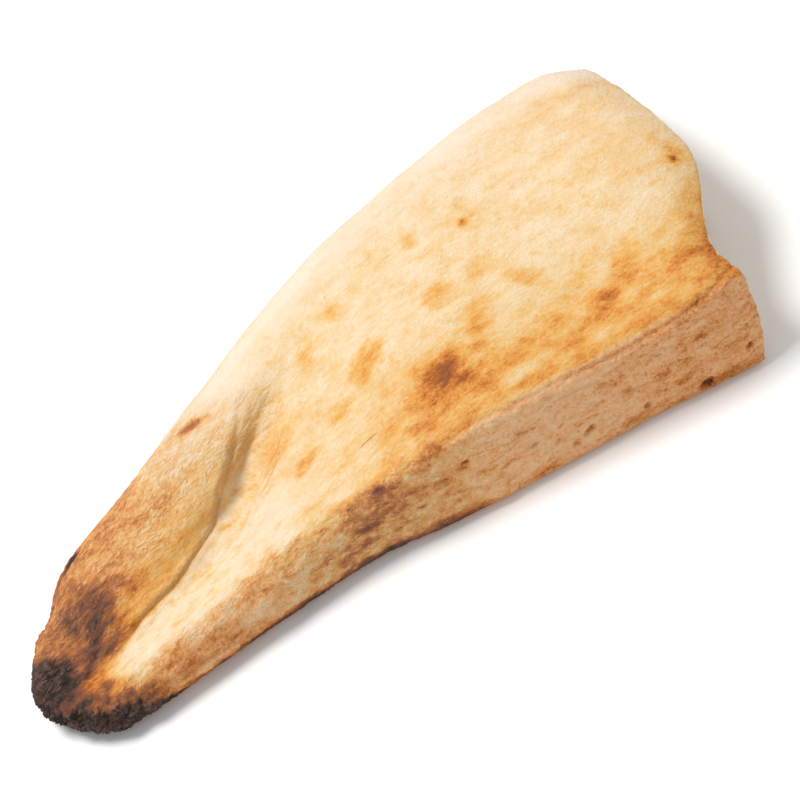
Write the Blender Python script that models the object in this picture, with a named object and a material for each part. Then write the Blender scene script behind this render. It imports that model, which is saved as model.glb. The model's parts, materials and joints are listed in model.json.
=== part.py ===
"""One end of a shoti, the long pointed bread baked against a hot oven wall, cut across its middle.

The loaf lies on its flat underside. X runs from the knife cut to the charred tip, Y from the
rounded left side to the slanted right side, and Z up. Lengths are metres. The crust is a loft of
cross-sections, and the crumb at the cut is carved by a cutter whose face has the crumb's pockets.
"""

import math
import random

import bmesh
import bpy
import numpy as np
from mathutils import Vector, noise

# ---------------------------------------------------------------- driving dimensions

LENGTH = 0.238  # from the cut to the tip
HALF_WIDTH = 0.057  # from the middle line to the left side, where the loaf is broadest
THICKNESS = 0.037  # at the crown

# ---------------------------------------------------------------- lines that run along the loaf
# Each pair is a place along the length (share of LENGTH from the cut) and a distance from the
# middle line (share of HALF_WIDTH) or a height (share of THICKNESS). The loft starts a little
# before the cut, which trims it.

LEFT_EDGE = (
    (-0.05, -0.67), (0.0, -0.845), (0.02, -0.90), (0.065, -0.96), (0.125, -0.99), (0.21, -1.0),
    (0.37, -0.98), (0.5, -0.91), (0.59, -0.845), (0.73, -0.68), (0.87, -0.555), (0.93, -0.37),
)
RIGHT_EDGE = (
    (-0.05, 1.07), (0.0, 1.045), (0.065, 1.0), (0.185, 0.915), (0.37, 0.745), (0.5, 0.605),
    (0.59, 0.49), (0.73, 0.425), (0.87, 0.378), (0.93, 0.355),
)
RIM_SIDEWAYS = (
    (-0.05, 0.90), (0.0, 0.885), (0.12, 0.855), (0.185, 0.815), (0.27, 0.73), (0.37, 0.617), (0.5, 0.49),
    (0.6, 0.37), (0.66, 0.30), (0.79, 0.255), (0.87, 0.228), (0.93, 0.178),
)
RIM_HEIGHT = (
    (-0.05, 0.62), (0.0, 0.80), (0.045, 0.915), (0.185, 0.89), (0.37, 0.838), (0.5, 0.757),
    (0.59, 0.65), (0.66, 0.58), (0.79, 0.5), (0.93, 0.405),
)
CREST_SIDEWAYS = (
    (-0.05, -0.45), (0.0, -0.58), (0.065, -0.655), (0.185, -0.71), (0.27, -0.709),
    (0.37, -0.686), (0.5, -0.634), (0.59, -0.56), (0.73, -0.42), (0.87, -0.30), (0.93, -0.18),
)
CREST_HEIGHT = (
    (-0.05, 0.58), (0.0, 0.77), (0.045, 0.905), (0.38, 0.92), (0.5, 0.84), (0.59, 0.745),
    (0.73, 0.65), (0.87, 0.54), (0.93, 0.46),
)
# The middle line is the crown of the broad part, and it sinks into the fold between the roll on
# the left and the flap on the right.
MIDDLE_SIDEWAYS = (
    (-0.05, 0.0), (0.38, -0.05), (0.517, -0.30), (0.597, -0.26), (0.664, -0.14), (0.71, -0.03),
    (0.78, 0.03), (0.86, 0.06), (0.93, 0.09),
)
MIDDLE_HEIGHT = (
    (-0.05, 0.63), (0.0, 0.84), (0.045, 0.98), (0.1, 1.0), (0.315, 0.986), (0.4, 0.96),
    (0.46, 0.89), (0.517, 0.77), (0.567, 0.62), (0.597, 0.554), (0.664, 0.46), (0.71, 0.405),
    (0.83, 0.35), (0.93, 0.405),
)

# ---------------------------------------------------------------- shape of a cross-section

SIDE_ROUNDING = ((0.0, 0.04), (0.45, 0.10), (0.65, 0.8), (0.8, 1.0))  # 0 flat side, 1 a round one
FOLD_DEPTH = ((0.0, 0.0), (0.5, 0.0), (0.62, 0.85), (0.93, 0.75))  # 0 open slope, 1 a tight fold
LEFT_BULGE_HEIGHT = 0.42  # height of the widest point of the left side, share of its crest
LEFT_FOOT_INSET = 0.5  # how far the left foot tucks under, share of the left round
LEFT_FOOT_POWER = 2.4  # squareness of the left round below its widest point
FOOT_RADIUS = ((0.0, 0.0022), (0.5, 0.003), (0.93, 0.0045))  # of the right side, along the loaf

FOOT_STEPS = 2
SIDE_STEPS = 7
RIGHT_TOP_STEPS = 13
LEFT_TOP_STEPS = 12
UPPER_ROUND_STEPS = 6
LOWER_ROUND_STEPS = 5
BOTTOM_STEPS = 9
RING_SMOOTHING = 2  # passes that soften where two arcs of a cross-section meet

# ---------------------------------------------------------------- stations and the tip

LOFT_START = -0.045 * LENGTH
BODY_STEP = 0.0045
FLAP_START = 0.150
FLAP_STEP = 0.0035
TIP_START = 0.214
TIP_STEP = 0.0019
CLOSING_START = 0.222
CLOSING_POWER = 1.35  # a low power closes the tip as a blunt point
TIP_AXIS = -0.0005  # where the tip closes, across the loaf
TIP_LIFT = 0.004  # how far the underside of the tip rises
TIP_THIN = 0.45  # share of the thickness that the closing takes away

# ---------------------------------------------------------------- relief of the crust

SWELL_SIZE = 0.026
SWELL_HEIGHT = 0.0007
BLISTER_SIZE = 0.009
BLISTER_HEIGHT = 0.0004
CRAG_SIZE = 0.0042
CRAG_HEIGHT = 0.0016
CRAG_LEVEL = 0.7  # share of a crag that lies below the skin
CRAG_START = 0.200
CRAG_FULL = 0.226
RELIEF_FADE = 0.004  # the relief fades out this close to the underside

# ---------------------------------------------------------------- the cut

CUT_SPACING = 0.0019  # of the points on the cut's face
CUT_CORNER_SET_BACK = 0.017  # how far the cut runs back towards the right side
CUT_CORNER_START = 0.004
CUT_CORNER_END = 0.042
CUT_LEFT_SET_BACK = 0.003
CUT_LEFT_REACH = 0.041
CUT_LEAN = 0.0075  # how much further back the cut runs at the underside, towards the right
CUT_LEAN_START = -0.020
CUT_LEAN_FULL = 0.012
CUT_LEAN_STRAIGHT = 0.035  # past this the lean bends, down to the corner
CUT_LEAN_BENT = 0.055
CUT_LEAN_POWER = 2.2
CUT_BEND_REACH = 0.06  # how far into the loaf the crust's droop bends along with the cut
CUT_BLOCK_DEPTH = 0.03
CUT_MARGIN = 0.008  # of the cutter round the loaf
POCKET_COUNT = 46
POCKET_LENGTH = (0.0015, 0.0070)  # half of it, along the cut
POCKET_HEIGHT = (0.0011, 0.0030)  # half of it
POCKET_DEPTH = 0.85  # share of the half height
CRUST_THICKNESS = 0.0022
TORN_ROUGHNESS = 0.0004
SEED = 41

CRUST_COLOUR = (0.83, 0.56, 0.27, 1.0)
CRUST_ROUGHNESS = 0.78
SHARP_ANGLE = math.radians(30.0)  # edges sharper than this stay crisp


# ---------------------------------------------------------------- small tools

def smooth_step(low, high, value):
    """Rise from 0 at low to 1 at high, level at both ends."""
    share = np.clip((value - low) / (high - low), 0.0, 1.0)
    return share * share * (3.0 - 2.0 * share)


def read_line(knots, place):
    """Read a smooth line through its knots that never overshoots them."""
    at, level = np.array(knots).T
    gap = np.diff(at)
    rise = np.diff(level) / gap
    slope = np.concatenate(([rise[0]], np.zeros(len(rise) - 1), [rise[-1]]))
    for i in range(1, len(rise)):
        if rise[i - 1] * rise[i] > 0.0:
            before = 2.0 * gap[i] + gap[i - 1]
            after = gap[i] + 2.0 * gap[i - 1]
            slope[i] = (before + after) / (before / rise[i - 1] + after / rise[i])
    i = int(np.clip(np.searchsorted(at, place) - 1, 0, len(gap) - 1))
    t = float(np.clip((place - at[i]) / gap[i], 0.0, 1.0))
    return float(
        level[i] * (1.0 + 2.0 * t) * (1.0 - t) ** 2
        + slope[i] * gap[i] * t * (1.0 - t) ** 2
        + level[i + 1] * t * t * (3.0 - 2.0 * t)
        + slope[i + 1] * gap[i] * t * t * (t - 1.0)
    )


def arc(start, end, steps, across, upward):
    """Points from start to end, whose two coordinates follow the given functions of 0 to 1."""
    t = np.linspace(0.0, 1.0, steps + 1)[1:]
    y = start[0] + (end[0] - start[0]) * across(t)
    z = start[1] + (end[1] - start[1]) * upward(t)
    return np.stack((y, z), axis=1)


# ---------------------------------------------------------------- cross-sections

def section_marks(x):
    """The named corners of the cross-section at x, as (y, z) pairs, and how round it is."""
    share = x / LENGTH
    half, thick = HALF_WIDTH, THICKNESS
    return {
        "left": read_line(LEFT_EDGE, share) * half,
        "right": read_line(RIGHT_EDGE, share) * half,
        "rim": (read_line(RIM_SIDEWAYS, share) * half, read_line(RIM_HEIGHT, share) * thick),
        "crest": (read_line(CREST_SIDEWAYS, share) * half, read_line(CREST_HEIGHT, share) * thick),
        "middle": (read_line(MIDDLE_SIDEWAYS, share) * half, read_line(MIDDLE_HEIGHT, share) * thick),
        "rounding": read_line(SIDE_ROUNDING, share),
        "fold": read_line(FOLD_DEPTH, share),
        "foot": read_line(FOOT_RADIUS, share),
    }


def side_arcs(marks):
    """The right side: a small round foot, then the slanted face up to the rim."""
    foot = marks["foot"]
    rounding = marks["rounding"]
    start = (marks["right"] - foot, 0.0)
    bulge = (marks["right"], foot)
    quarter = math.pi / 2.0
    low = arc(start, bulge, FOOT_STEPS, lambda t: np.sin(quarter * t), lambda t: 1.0 - np.cos(quarter * t))
    face = arc(
        bulge, marks["rim"], SIDE_STEPS,
        lambda t: (1.0 - rounding) * t + rounding * (1.0 - np.cos(quarter * t)),
        lambda t: (1.0 - rounding) * t + rounding * np.sin(quarter * t),
    )
    return np.concatenate(([start], low, face))


def top_arcs(marks):
    """The top: from the rim to the middle line, and on to the crest of the left side."""
    fold = marks["fold"]
    quarter = math.pi / 2.0
    right = arc(
        marks["rim"], marks["middle"], RIGHT_TOP_STEPS,
        lambda t: t,
        lambda t: (1.0 - fold) * np.sin(quarter * t) + fold * smooth_step(0.0, 1.0, t),
    )
    left = arc(
        marks["middle"], marks["crest"], LEFT_TOP_STEPS,
        lambda t: (1.0 - fold) * t + fold * t * t,
        lambda t: (1.0 - fold) * smooth_step(0.0, 1.0, t) + fold * np.sqrt(1.0 - (1.0 - t * t) ** 2),
    )
    return np.concatenate((right, left))


def left_arcs(marks):
    """The left side: round from the crest to its widest point and under to its foot."""
    crest = marks["crest"]
    widest = (marks["left"], crest[1] * LEFT_BULGE_HEIGHT)
    foot = (marks["left"] + (crest[0] - marks["left"]) * LEFT_FOOT_INSET, 0.0)
    quarter = math.pi / 2.0
    squareness = 2.0 / LEFT_FOOT_POWER
    upper = arc(
        crest, widest, UPPER_ROUND_STEPS,
        lambda t: np.sin(quarter * t),
        lambda t: 1.0 - np.cos(quarter * t),
    )
    lower = arc(
        widest, foot, LOWER_ROUND_STEPS,
        lambda t: 1.0 - np.cos(quarter * t) ** squareness,
        lambda t: np.sin(quarter * t) ** squareness,
    )
    return np.concatenate((upper, lower))


def bottom_line(start, end):
    """The flat underside, without its two ends."""
    t = np.linspace(0.0, 1.0, BOTTOM_STEPS + 1)[1:-1]
    y = start[0] + (end[0] - start[0]) * t
    return np.stack((y, np.zeros_like(y)), axis=1)


def close_tip(ring, x):
    """Draw a ring in towards the tip's point and lift its underside."""
    if x <= CLOSING_START:
        return ring
    along = (x - CLOSING_START) / (LENGTH - CLOSING_START)
    close = max(0.0, 1.0 - along ** CLOSING_POWER) ** (1.0 / CLOSING_POWER)
    y = TIP_AXIS + (ring[:, 0] - TIP_AXIS) * close
    z = TIP_LIFT * (1.0 - close) + ring[:, 1] * (1.0 - TIP_THIN * (1.0 - close))
    return np.stack((y, z), axis=1)


def make_ring(x):
    """One closed cross-section of the loaf at x, as an array of (y, z) points."""
    marks = section_marks(x)
    side = side_arcs(marks)
    crust = np.concatenate((side, top_arcs(marks), left_arcs(marks)))
    rim = len(side) - 1
    for _ in range(RING_SMOOTHING):
        soft = crust.copy()
        soft[1:-1] = (crust[:-2] + 2.0 * crust[1:-1] + crust[2:]) / 4.0
        keep = 1.0 - 0.85 * marks["rounding"]
        soft[:rim + 1] = crust[:rim + 1] * keep + soft[:rim + 1] * (1.0 - keep)
        soft[-LOWER_ROUND_STEPS:] = crust[-LOWER_ROUND_STEPS:]
        crust = soft
    ring = np.concatenate((crust, bottom_line(crust[-1], crust[0])))
    return close_tip(ring, x)


def station_places():
    """Where the cross-sections stand: closer together on the flap, and closest at the tip."""
    body = np.arange(LOFT_START, FLAP_START, BODY_STEP)
    flap = np.arange(FLAP_START, TIP_START, FLAP_STEP)
    tip = np.arange(TIP_START, LENGTH - TIP_STEP / 2.0, TIP_STEP)
    return np.concatenate((body, flap, tip))


# ---------------------------------------------------------------- crust

def set_back(y):
    """How far back along X the cut's upper edge runs, for a place across the loaf."""
    right = CUT_CORNER_SET_BACK * float(smooth_step(CUT_CORNER_START, CUT_CORNER_END, y))
    return right + CUT_LEFT_SET_BACK * min(0.0, y / CUT_LEFT_REACH) ** 2


def loft(mesh, rings, places):
    """Join the cross-sections into one closed skin, with a fan at each end.

    Near the cut the cross-sections bend along with it, so that the crust droops all along it.
    """
    rows = []
    for x, ring in zip(places, rings):
        bend = 1.0 - float(smooth_step(0.0, CUT_BEND_REACH, x))
        rows.append([mesh.verts.new((x + bend * set_back(y), y, z)) for y, z in ring])
    count = len(rows[0])
    for near, far in zip(rows[:-1], rows[1:]):
        for i in range(count):
            j = (i + 1) % count
            mesh.faces.new((near[i], near[j], far[j], far[i]))
    for row, ahead in ((rows[0], 0.0), (rows[-1], LENGTH - places[-1])):
        middle = sum((vert.co for vert in row), Vector()) / count
        hub = mesh.verts.new(middle + Vector((ahead, 0.0, 0.0)))
        for i in range(count):
            mesh.faces.new((row[i], row[(i + 1) % count], hub))
    bmesh.ops.recalc_face_normals(mesh, faces=mesh.faces)


def crust_relief(point):
    """How far the crust stands out at a point: broad swells, blisters, and crags at the tip."""
    swell = noise.noise(point / SWELL_SIZE) * SWELL_HEIGHT
    blister = max(0.0, noise.noise(point / BLISTER_SIZE + Vector((7.0, 3.0, 1.0)))) * BLISTER_HEIGHT
    stretched = Vector((point.x * 0.45, point.y, point.z)) / CRAG_SIZE
    ridge = 1.0 - 2.0 * abs(noise.noise(stretched))
    burnt = float(smooth_step(CRAG_START, CRAG_FULL, point.x))
    crag = (ridge - CRAG_LEVEL) * CRAG_HEIGHT * burnt
    fade = float(smooth_step(0.0, RELIEF_FADE, point.z))
    return (swell + blister + crag) * fade


def raise_relief(mesh):
    """Move every point of the skin out or in by the crust's relief."""
    mesh.normal_update()
    moves = [vert.normal * crust_relief(vert.co) for vert in mesh.verts]
    for vert, move in zip(mesh.verts, moves):
        vert.co += move
        vert.co.z = max(vert.co.z, 0.0)


def make_crust():
    """The whole skin of the loaf, still running on past the cut."""
    places = station_places()
    mesh = bmesh.new()
    loft(mesh, [make_ring(x) for x in places], places)
    raise_relief(mesh)
    return to_object(mesh, "shoti_end")


# ---------------------------------------------------------------- crumb

def knife_line(y, z):
    """Where the knife passed, along X, for a place on the cut."""
    lean = CUT_LEAN * float(smooth_step(CUT_LEAN_START, CUT_LEAN_FULL, y))
    bent = float(smooth_step(CUT_LEAN_STRAIGHT, CUT_LEAN_BENT, y))
    depth = max(0.0, 1.0 - z / THICKNESS) ** (1.0 + (CUT_LEAN_POWER - 1.0) * bent)
    return set_back(y) + lean * depth


def distance_to_ring(y, z, ring):
    """The distance from a point of the cut to the crust round it."""
    start = ring
    run = np.roll(ring, -1, axis=0) - start
    offset = np.array((y, z)) - start
    share = np.clip((offset * run).sum(axis=1) / (run * run).sum(axis=1), 0.0, 1.0)
    return float(np.min(np.linalg.norm(offset - run * share[:, None], axis=1)))


def draw_pockets(ring):
    """Choose the crumb's pockets, none of which reaches the crust."""
    chance = random.Random(SEED)
    low, high = ring.min(axis=0), ring.max(axis=0)
    pockets = []
    while len(pockets) < POCKET_COUNT:
        y = chance.uniform(low[0], high[0])
        z = chance.uniform(low[1], high[1])
        length = POCKET_LENGTH[0] + (POCKET_LENGTH[1] - POCKET_LENGTH[0]) * chance.random() ** 2
        height = min(chance.uniform(*POCKET_HEIGHT), length)
        tilt = chance.uniform(-0.5, 0.5)
        inside = low[0] + height < y < high[0] - height
        if inside and distance_to_ring(y, z, ring) > height + CRUST_THICKNESS:
            pockets.append((y, z, length, height, tilt))
    return pockets


def pocket_depth(y, z, pockets):
    """How deep the crumb is hollowed at a place on the cut."""
    depth = 0.0
    for centre_y, centre_z, length, height, tilt in pockets:
        along = (y - centre_y) * math.cos(tilt) + (z - centre_z) * math.sin(tilt)
        up = (z - centre_z) * math.cos(tilt) - (y - centre_y) * math.sin(tilt)
        reach = (along / length) ** 2 + (up / height) ** 2
        if reach < 1.0:
            depth = max(depth, POCKET_DEPTH * height * math.sqrt(1.0 - reach))
    return depth


def make_cutter():
    """The block that trims the loaf: its front is the knife's path with the crumb's relief."""
    ring = make_ring(0.0)
    pockets = draw_pockets(ring)
    low, high = ring.min(axis=0) - CUT_MARGIN, ring.max(axis=0) + CUT_MARGIN
    columns = int((high[0] - low[0]) / CUT_SPACING)
    rows = int((high[1] - low[1]) / CUT_SPACING)
    mesh = bmesh.new()
    across = [low[0] + (high[0] - low[0]) * i / columns for i in range(columns + 1)]
    upward = [low[1] + (high[1] - low[1]) * j / rows for j in range(rows + 1)]
    grid = [[mesh.verts.new((cut_face(y, z, ring, pockets), y, z)) for z in upward] for y in across]
    front = [
        mesh.faces.new((grid[i][j], grid[i + 1][j], grid[i + 1][j + 1], grid[i][j + 1]))
        for i in range(columns) for j in range(rows)
    ]
    back = bmesh.ops.extrude_face_region(mesh, geom=front)
    for item in back["geom"]:
        if isinstance(item, bmesh.types.BMVert):
            item.co.x = -CUT_BLOCK_DEPTH
    bmesh.ops.recalc_face_normals(mesh, faces=mesh.faces)
    cutter = to_object(mesh, "cutter")
    cutter.hide_render = True
    cutter.display_type = "WIRE"
    return cutter


def cut_face(y, z, ring, pockets):
    """Where the cut's face lies along X: the knife's line, pockets and a torn grain."""
    grain = noise.noise(Vector((0.0, y, z)) / (1.7 * CUT_SPACING)) * TORN_ROUGHNESS
    inner = float(smooth_step(0.0, CRUST_THICKNESS, distance_to_ring(y, z, ring)))
    return knife_line(y, z) + pocket_depth(y, z, pockets) + grain * inner


# ---------------------------------------------------------------- objects

def clear_scene():
    """Remove every object that the file opened with."""
    for old in list(bpy.data.objects):
        bpy.data.objects.remove(old, do_unlink=True)


def to_object(mesh, name):
    """Turn an edited mesh into an object of the scene."""
    data = bpy.data.meshes.new(name)
    mesh.to_mesh(data)
    mesh.free()
    made = bpy.data.objects.new(name, data)
    bpy.context.scene.collection.objects.link(made)
    return made


def crust_material():
    """Pale baked crust: matt, warm and cream."""
    material = bpy.data.materials.new("baked_crust")
    material.use_nodes = True
    shader = material.node_tree.nodes["Principled BSDF"]
    shader.inputs["Base Color"].default_value = CRUST_COLOUR
    shader.inputs["Roughness"].default_value = CRUST_ROUGHNESS
    shader.inputs["Metallic"].default_value = 0.0
    return material


def cut_loaf(loaf, cutter):
    """Carve the cut into the loaf for good, and drop slivers that the carving leaves."""
    carve = loaf.modifiers.new("knife cut", "BOOLEAN")
    carve.operation = "DIFFERENCE"
    carve.solver = "EXACT"
    carve.object = cutter
    graph = bpy.context.evaluated_depsgraph_get()
    carved = bpy.data.meshes.new_from_object(loaf.evaluated_get(graph))
    loaf.modifiers.remove(carve)
    loaf.data = carved
    bpy.data.objects.remove(cutter, do_unlink=True)
    mesh = bmesh.new()
    mesh.from_mesh(carved)
    bmesh.ops.dissolve_degenerate(mesh, edges=mesh.edges, dist=0.00002)
    bmesh.ops.triangulate(mesh, faces=mesh.faces)
    mesh.to_mesh(carved)
    mesh.free()


def centre_on_floor(loaf):
    """Stand the loaf with the middle of its underside at the origin."""
    points = np.array([vert.co for vert in loaf.data.vertices])
    middle = (points.min(axis=0) + points.max(axis=0)) / 2.0
    loaf.location = (-middle[0], -middle[1], -points[:, 2].min())


def build_loaf():
    """Make the whole piece, cut and dressed, standing at the origin."""
    loaf = make_crust()
    cut_loaf(loaf, make_cutter())
    loaf.data.shade_smooth()
    loaf.data.set_sharp_from_angle(angle=SHARP_ANGLE)
    loaf.data.materials.clear()
    loaf.data.materials.append(crust_material())
    centre_on_floor(loaf)
    return loaf


clear_scene()
build_loaf()
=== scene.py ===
"""Looks of one end of a shoti, the long pointed bread that bakes stuck to a hot oven wall.

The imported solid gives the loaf's form. A finer copy of it carries what the solid is too coarse
for: wrinkles, blisters, the fold's creases, the pits of the slanted side, the open crumb at the
cut and the ridges of the charred tip. Lengths are metres, and places of marks are millimetres.
X runs from the cut to the tip, Y from the rounded left side to the slanted right side, and Z up.
"""

import json
import logging
import math
import random
from dataclasses import dataclass, field
from enum import Enum
from typing import Callable

import bpy
import numpy as np
from mathutils import Matrix, Vector, noise

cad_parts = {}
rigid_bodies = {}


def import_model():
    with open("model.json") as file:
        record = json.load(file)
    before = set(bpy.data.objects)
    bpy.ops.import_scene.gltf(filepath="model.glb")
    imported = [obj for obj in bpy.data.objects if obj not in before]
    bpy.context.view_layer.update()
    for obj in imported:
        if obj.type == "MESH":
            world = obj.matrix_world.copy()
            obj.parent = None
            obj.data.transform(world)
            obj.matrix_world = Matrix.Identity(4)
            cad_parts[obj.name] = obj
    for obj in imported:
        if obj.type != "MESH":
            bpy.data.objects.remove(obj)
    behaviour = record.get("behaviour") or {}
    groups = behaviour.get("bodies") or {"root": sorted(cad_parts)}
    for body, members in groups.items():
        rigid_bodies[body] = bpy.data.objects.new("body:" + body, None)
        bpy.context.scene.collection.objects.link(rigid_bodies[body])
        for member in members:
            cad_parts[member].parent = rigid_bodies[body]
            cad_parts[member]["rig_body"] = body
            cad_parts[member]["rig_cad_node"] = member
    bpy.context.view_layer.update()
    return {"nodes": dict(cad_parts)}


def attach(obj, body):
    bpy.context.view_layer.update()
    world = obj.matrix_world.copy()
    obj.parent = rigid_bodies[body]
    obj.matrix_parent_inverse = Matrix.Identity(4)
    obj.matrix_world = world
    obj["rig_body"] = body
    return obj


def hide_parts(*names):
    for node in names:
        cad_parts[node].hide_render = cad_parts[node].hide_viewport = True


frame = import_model()

LOG = logging.getLogger("shoti")
MM = 0.001
Colour = tuple[float, float, float]
Point = tuple[float, float, float]
Line = tuple[tuple[float, float], ...]
Socket = bpy.types.NodeSocket
Feed = float | tuple[float, ...] | Socket  # what a node's input takes: a value or an output to link


# ---------------------------------------------------------------- small tools

def smooth_step(low: float, high: float, value: np.ndarray) -> np.ndarray:
    """Rise from 0 at low to 1 at high, level at both ends.

    Args:
        low: Where the rise starts; it may lie above high, and the step then falls.
        high: Where the rise ends.
        value: The values to read it at.

    Returns:
        One share from 0 to 1 for each value.
    """
    share = np.clip((value - low) / (high - low), 0.0, 1.0)
    return share * share * (3.0 - 2.0 * share)


def wander(points: np.ndarray, size: float | Point, seat: float = 0.0) -> np.ndarray:
    """Read smooth noise at many points.

    Args:
        points: The points, one row each.
        size: The size of the noise's lumps in millimetres, the same all ways or one for each axis.
        seat: A shift that gives each use a pattern of its own.

    Returns:
        One value for each point, from about -1 to 1.
    """
    scaled = points / (np.asarray(size) * MM) + seat
    return np.array([noise.noise(place) for place in scaled.tolist()])


def turn_axes(first: np.ndarray, second: np.ndarray, angle: float) -> tuple[np.ndarray, np.ndarray]:
    """Read two coordinates along axes that are turned in their plane.

    Args:
        first: The places along the first axis.
        second: The places along the second axis.
        angle: The turn from the first axis towards the second, in radians.

    Returns:
        The places along each of the turned axes.
    """
    cosine, sine = math.cos(angle), math.sin(angle)
    return first * cosine + second * sine, second * cosine - first * sine


def strip_ends(
    place: np.ndarray, value: np.ndarray, count: int, end: Callable[[np.ndarray], float],
) -> tuple[np.ndarray, np.ndarray]:
    """Sort points into even strips, and find the lowest or the highest value in each.

    Args:
        place: Where each point lies across the strips.
        value: Each point's value.
        count: The number of lines that part the strips, with the two outermost.
        end: The function that gives the wanted end of a strip's values.

    Returns:
        The middle of each strip, and the value found there.
    """
    lines = np.linspace(place.min(), place.max(), count)
    strip = np.clip(np.searchsorted(lines, place), 1, count - 1)
    found = [end(value[strip == i] if (strip == i).any() else value) for i in range(1, count)]
    return (lines[1:] + lines[:-1]) / 2.0, np.array(found)


def read_line(line: Line, value: np.ndarray) -> np.ndarray:
    """Read a line of knots, given in millimetres, at values in metres.

    Args:
        line: The knots, each a place and a level.
        value: The places to read it at.

    Returns:
        One level in metres for each place.
    """
    places, levels = np.array(line).T * MM
    return np.interp(value, places, levels)


def glide(knots: np.ndarray, step: float) -> np.ndarray:
    """Draw a smooth curve through a few points.

    Args:
        knots: The points to pass through, one row each.
        step: The distance between the points of the curve.

    Returns:
        The curve's points, one row each.
    """
    padded = np.concatenate(([2.0 * knots[0] - knots[1]], knots, [2.0 * knots[-1] - knots[-2]]))
    curve = []
    for before, start, end, after in zip(padded[:-3], padded[1:-2], padded[2:-1], padded[3:]):
        count = max(2, int(np.linalg.norm(end - start) / step))
        for t in np.linspace(0.0, 1.0, count, endpoint=False):
            curve.append(0.5 * (
                2.0 * start + (end - before) * t
                + (2.0 * before - 5.0 * start + 4.0 * end - after) * t * t
                + (3.0 * start - before - 3.0 * end + after) * t * t * t
            ))
    curve.append(knots[-1])
    return np.array(curve)


# ---------------------------------------------------------------- marks on the loaf

class Mask(Enum):
    """The fields that the loaf's mesh carries for its material, one value at each point."""

    TOAST_AND_SHADE = "toast_and_shade"  # how far the crust is baked, 0 floury to 1 burnt, with painted shade added in its creases, pits and pores
    SIDE = "side"  # the sandy slanted face
    CRUMB = "crumb"  # the open crumb at the cut
    CHAR = "char"  # burnt black
    FLOUR = "flour"  # a dusty, pinkish bloom of flour
    FOLD_SHADE = "fold_shade"  # painted shade: darker and tan, down in and beside the fold
    HOLLOW = "hollow"  # inside a pore of the crumb, where the material paints shade
    PEBBLED = "pebbled"  # how pebbled and streaked the skin is
    LINE_OFFSET = "line offset"  # the way across the nearest hairline, in millimetres
    LINE = "line"  # how strong that hairline is


@dataclass(frozen=True)
class Scorch:
    """A toasted place of the crust, or a pale one where its level is below 0.

    Its place is in millimetres, and so are its half length and half width. The turn, in degrees,
    is that of its length from the loaf's own length.
    """

    place: Point
    length: float
    width: float
    level: float
    turn: float = 0.0

    def heat(self, points: np.ndarray, warp: np.ndarray) -> np.ndarray:
        """How much this place adds to the toast.

        Args:
            points: The loaf's points.
            warp: Noise that frays the edge of the place.

        Returns:
            One toast level for each point.
        """
        offset = points - np.array(self.place) * MM
        along, _ = turn_axes(offset[:, 0], offset[:, 1], math.radians(self.turn))
        across = np.sqrt(np.maximum((offset ** 2).sum(axis=1) - along ** 2, 0.0))
        reach = np.hypot(along / (self.length * MM), across / (self.width * MM)) + warp
        return self.level * smooth_step(1.55, 0.15, reach)


@dataclass(frozen=True)
class Crease:
    """A line pressed into the crust, through points in millimetres.

    Depth and half width are millimetres too. A bank is a low ridge along the line, on the side
    that its sign gives. The field stain_and_shade says how much darker the line is coloured,
    partly baked darker and partly painted shade in the groove, and the line comes up out of the
    crust over the length of each fade.
    """

    route: tuple[Point, ...]
    depth: float
    width: float
    stain_and_shade: float = 0.1
    bank: float = 0.0
    bank_side: int = 1
    fade: tuple[float, float] = (8.0, 8.0)


@dataclass(frozen=True)
class Hairline:
    """A split too fine for the mesh, which the material draws along a route in millimetres as a dark line
    of painted shade.
    """

    route: tuple[Point, ...]
    strength: float
    fade: float = 3.0


@dataclass(frozen=True)
class Pit:
    """An oval pit in the slanted side, with its sizes in millimetres and its tilt in radians."""

    place: Point
    length: float
    height: float
    depth: float
    tilt: float = 0.25


@dataclass(frozen=True)
class PoreRule:
    """How pores are strewn over a face: their number, and their sizes in millimetres."""

    count: int
    half_length: tuple[float, float]
    flatness: tuple[float, float]
    depth: tuple[float, float]
    tilt: float
    favour_small: float
    seed: int


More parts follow.
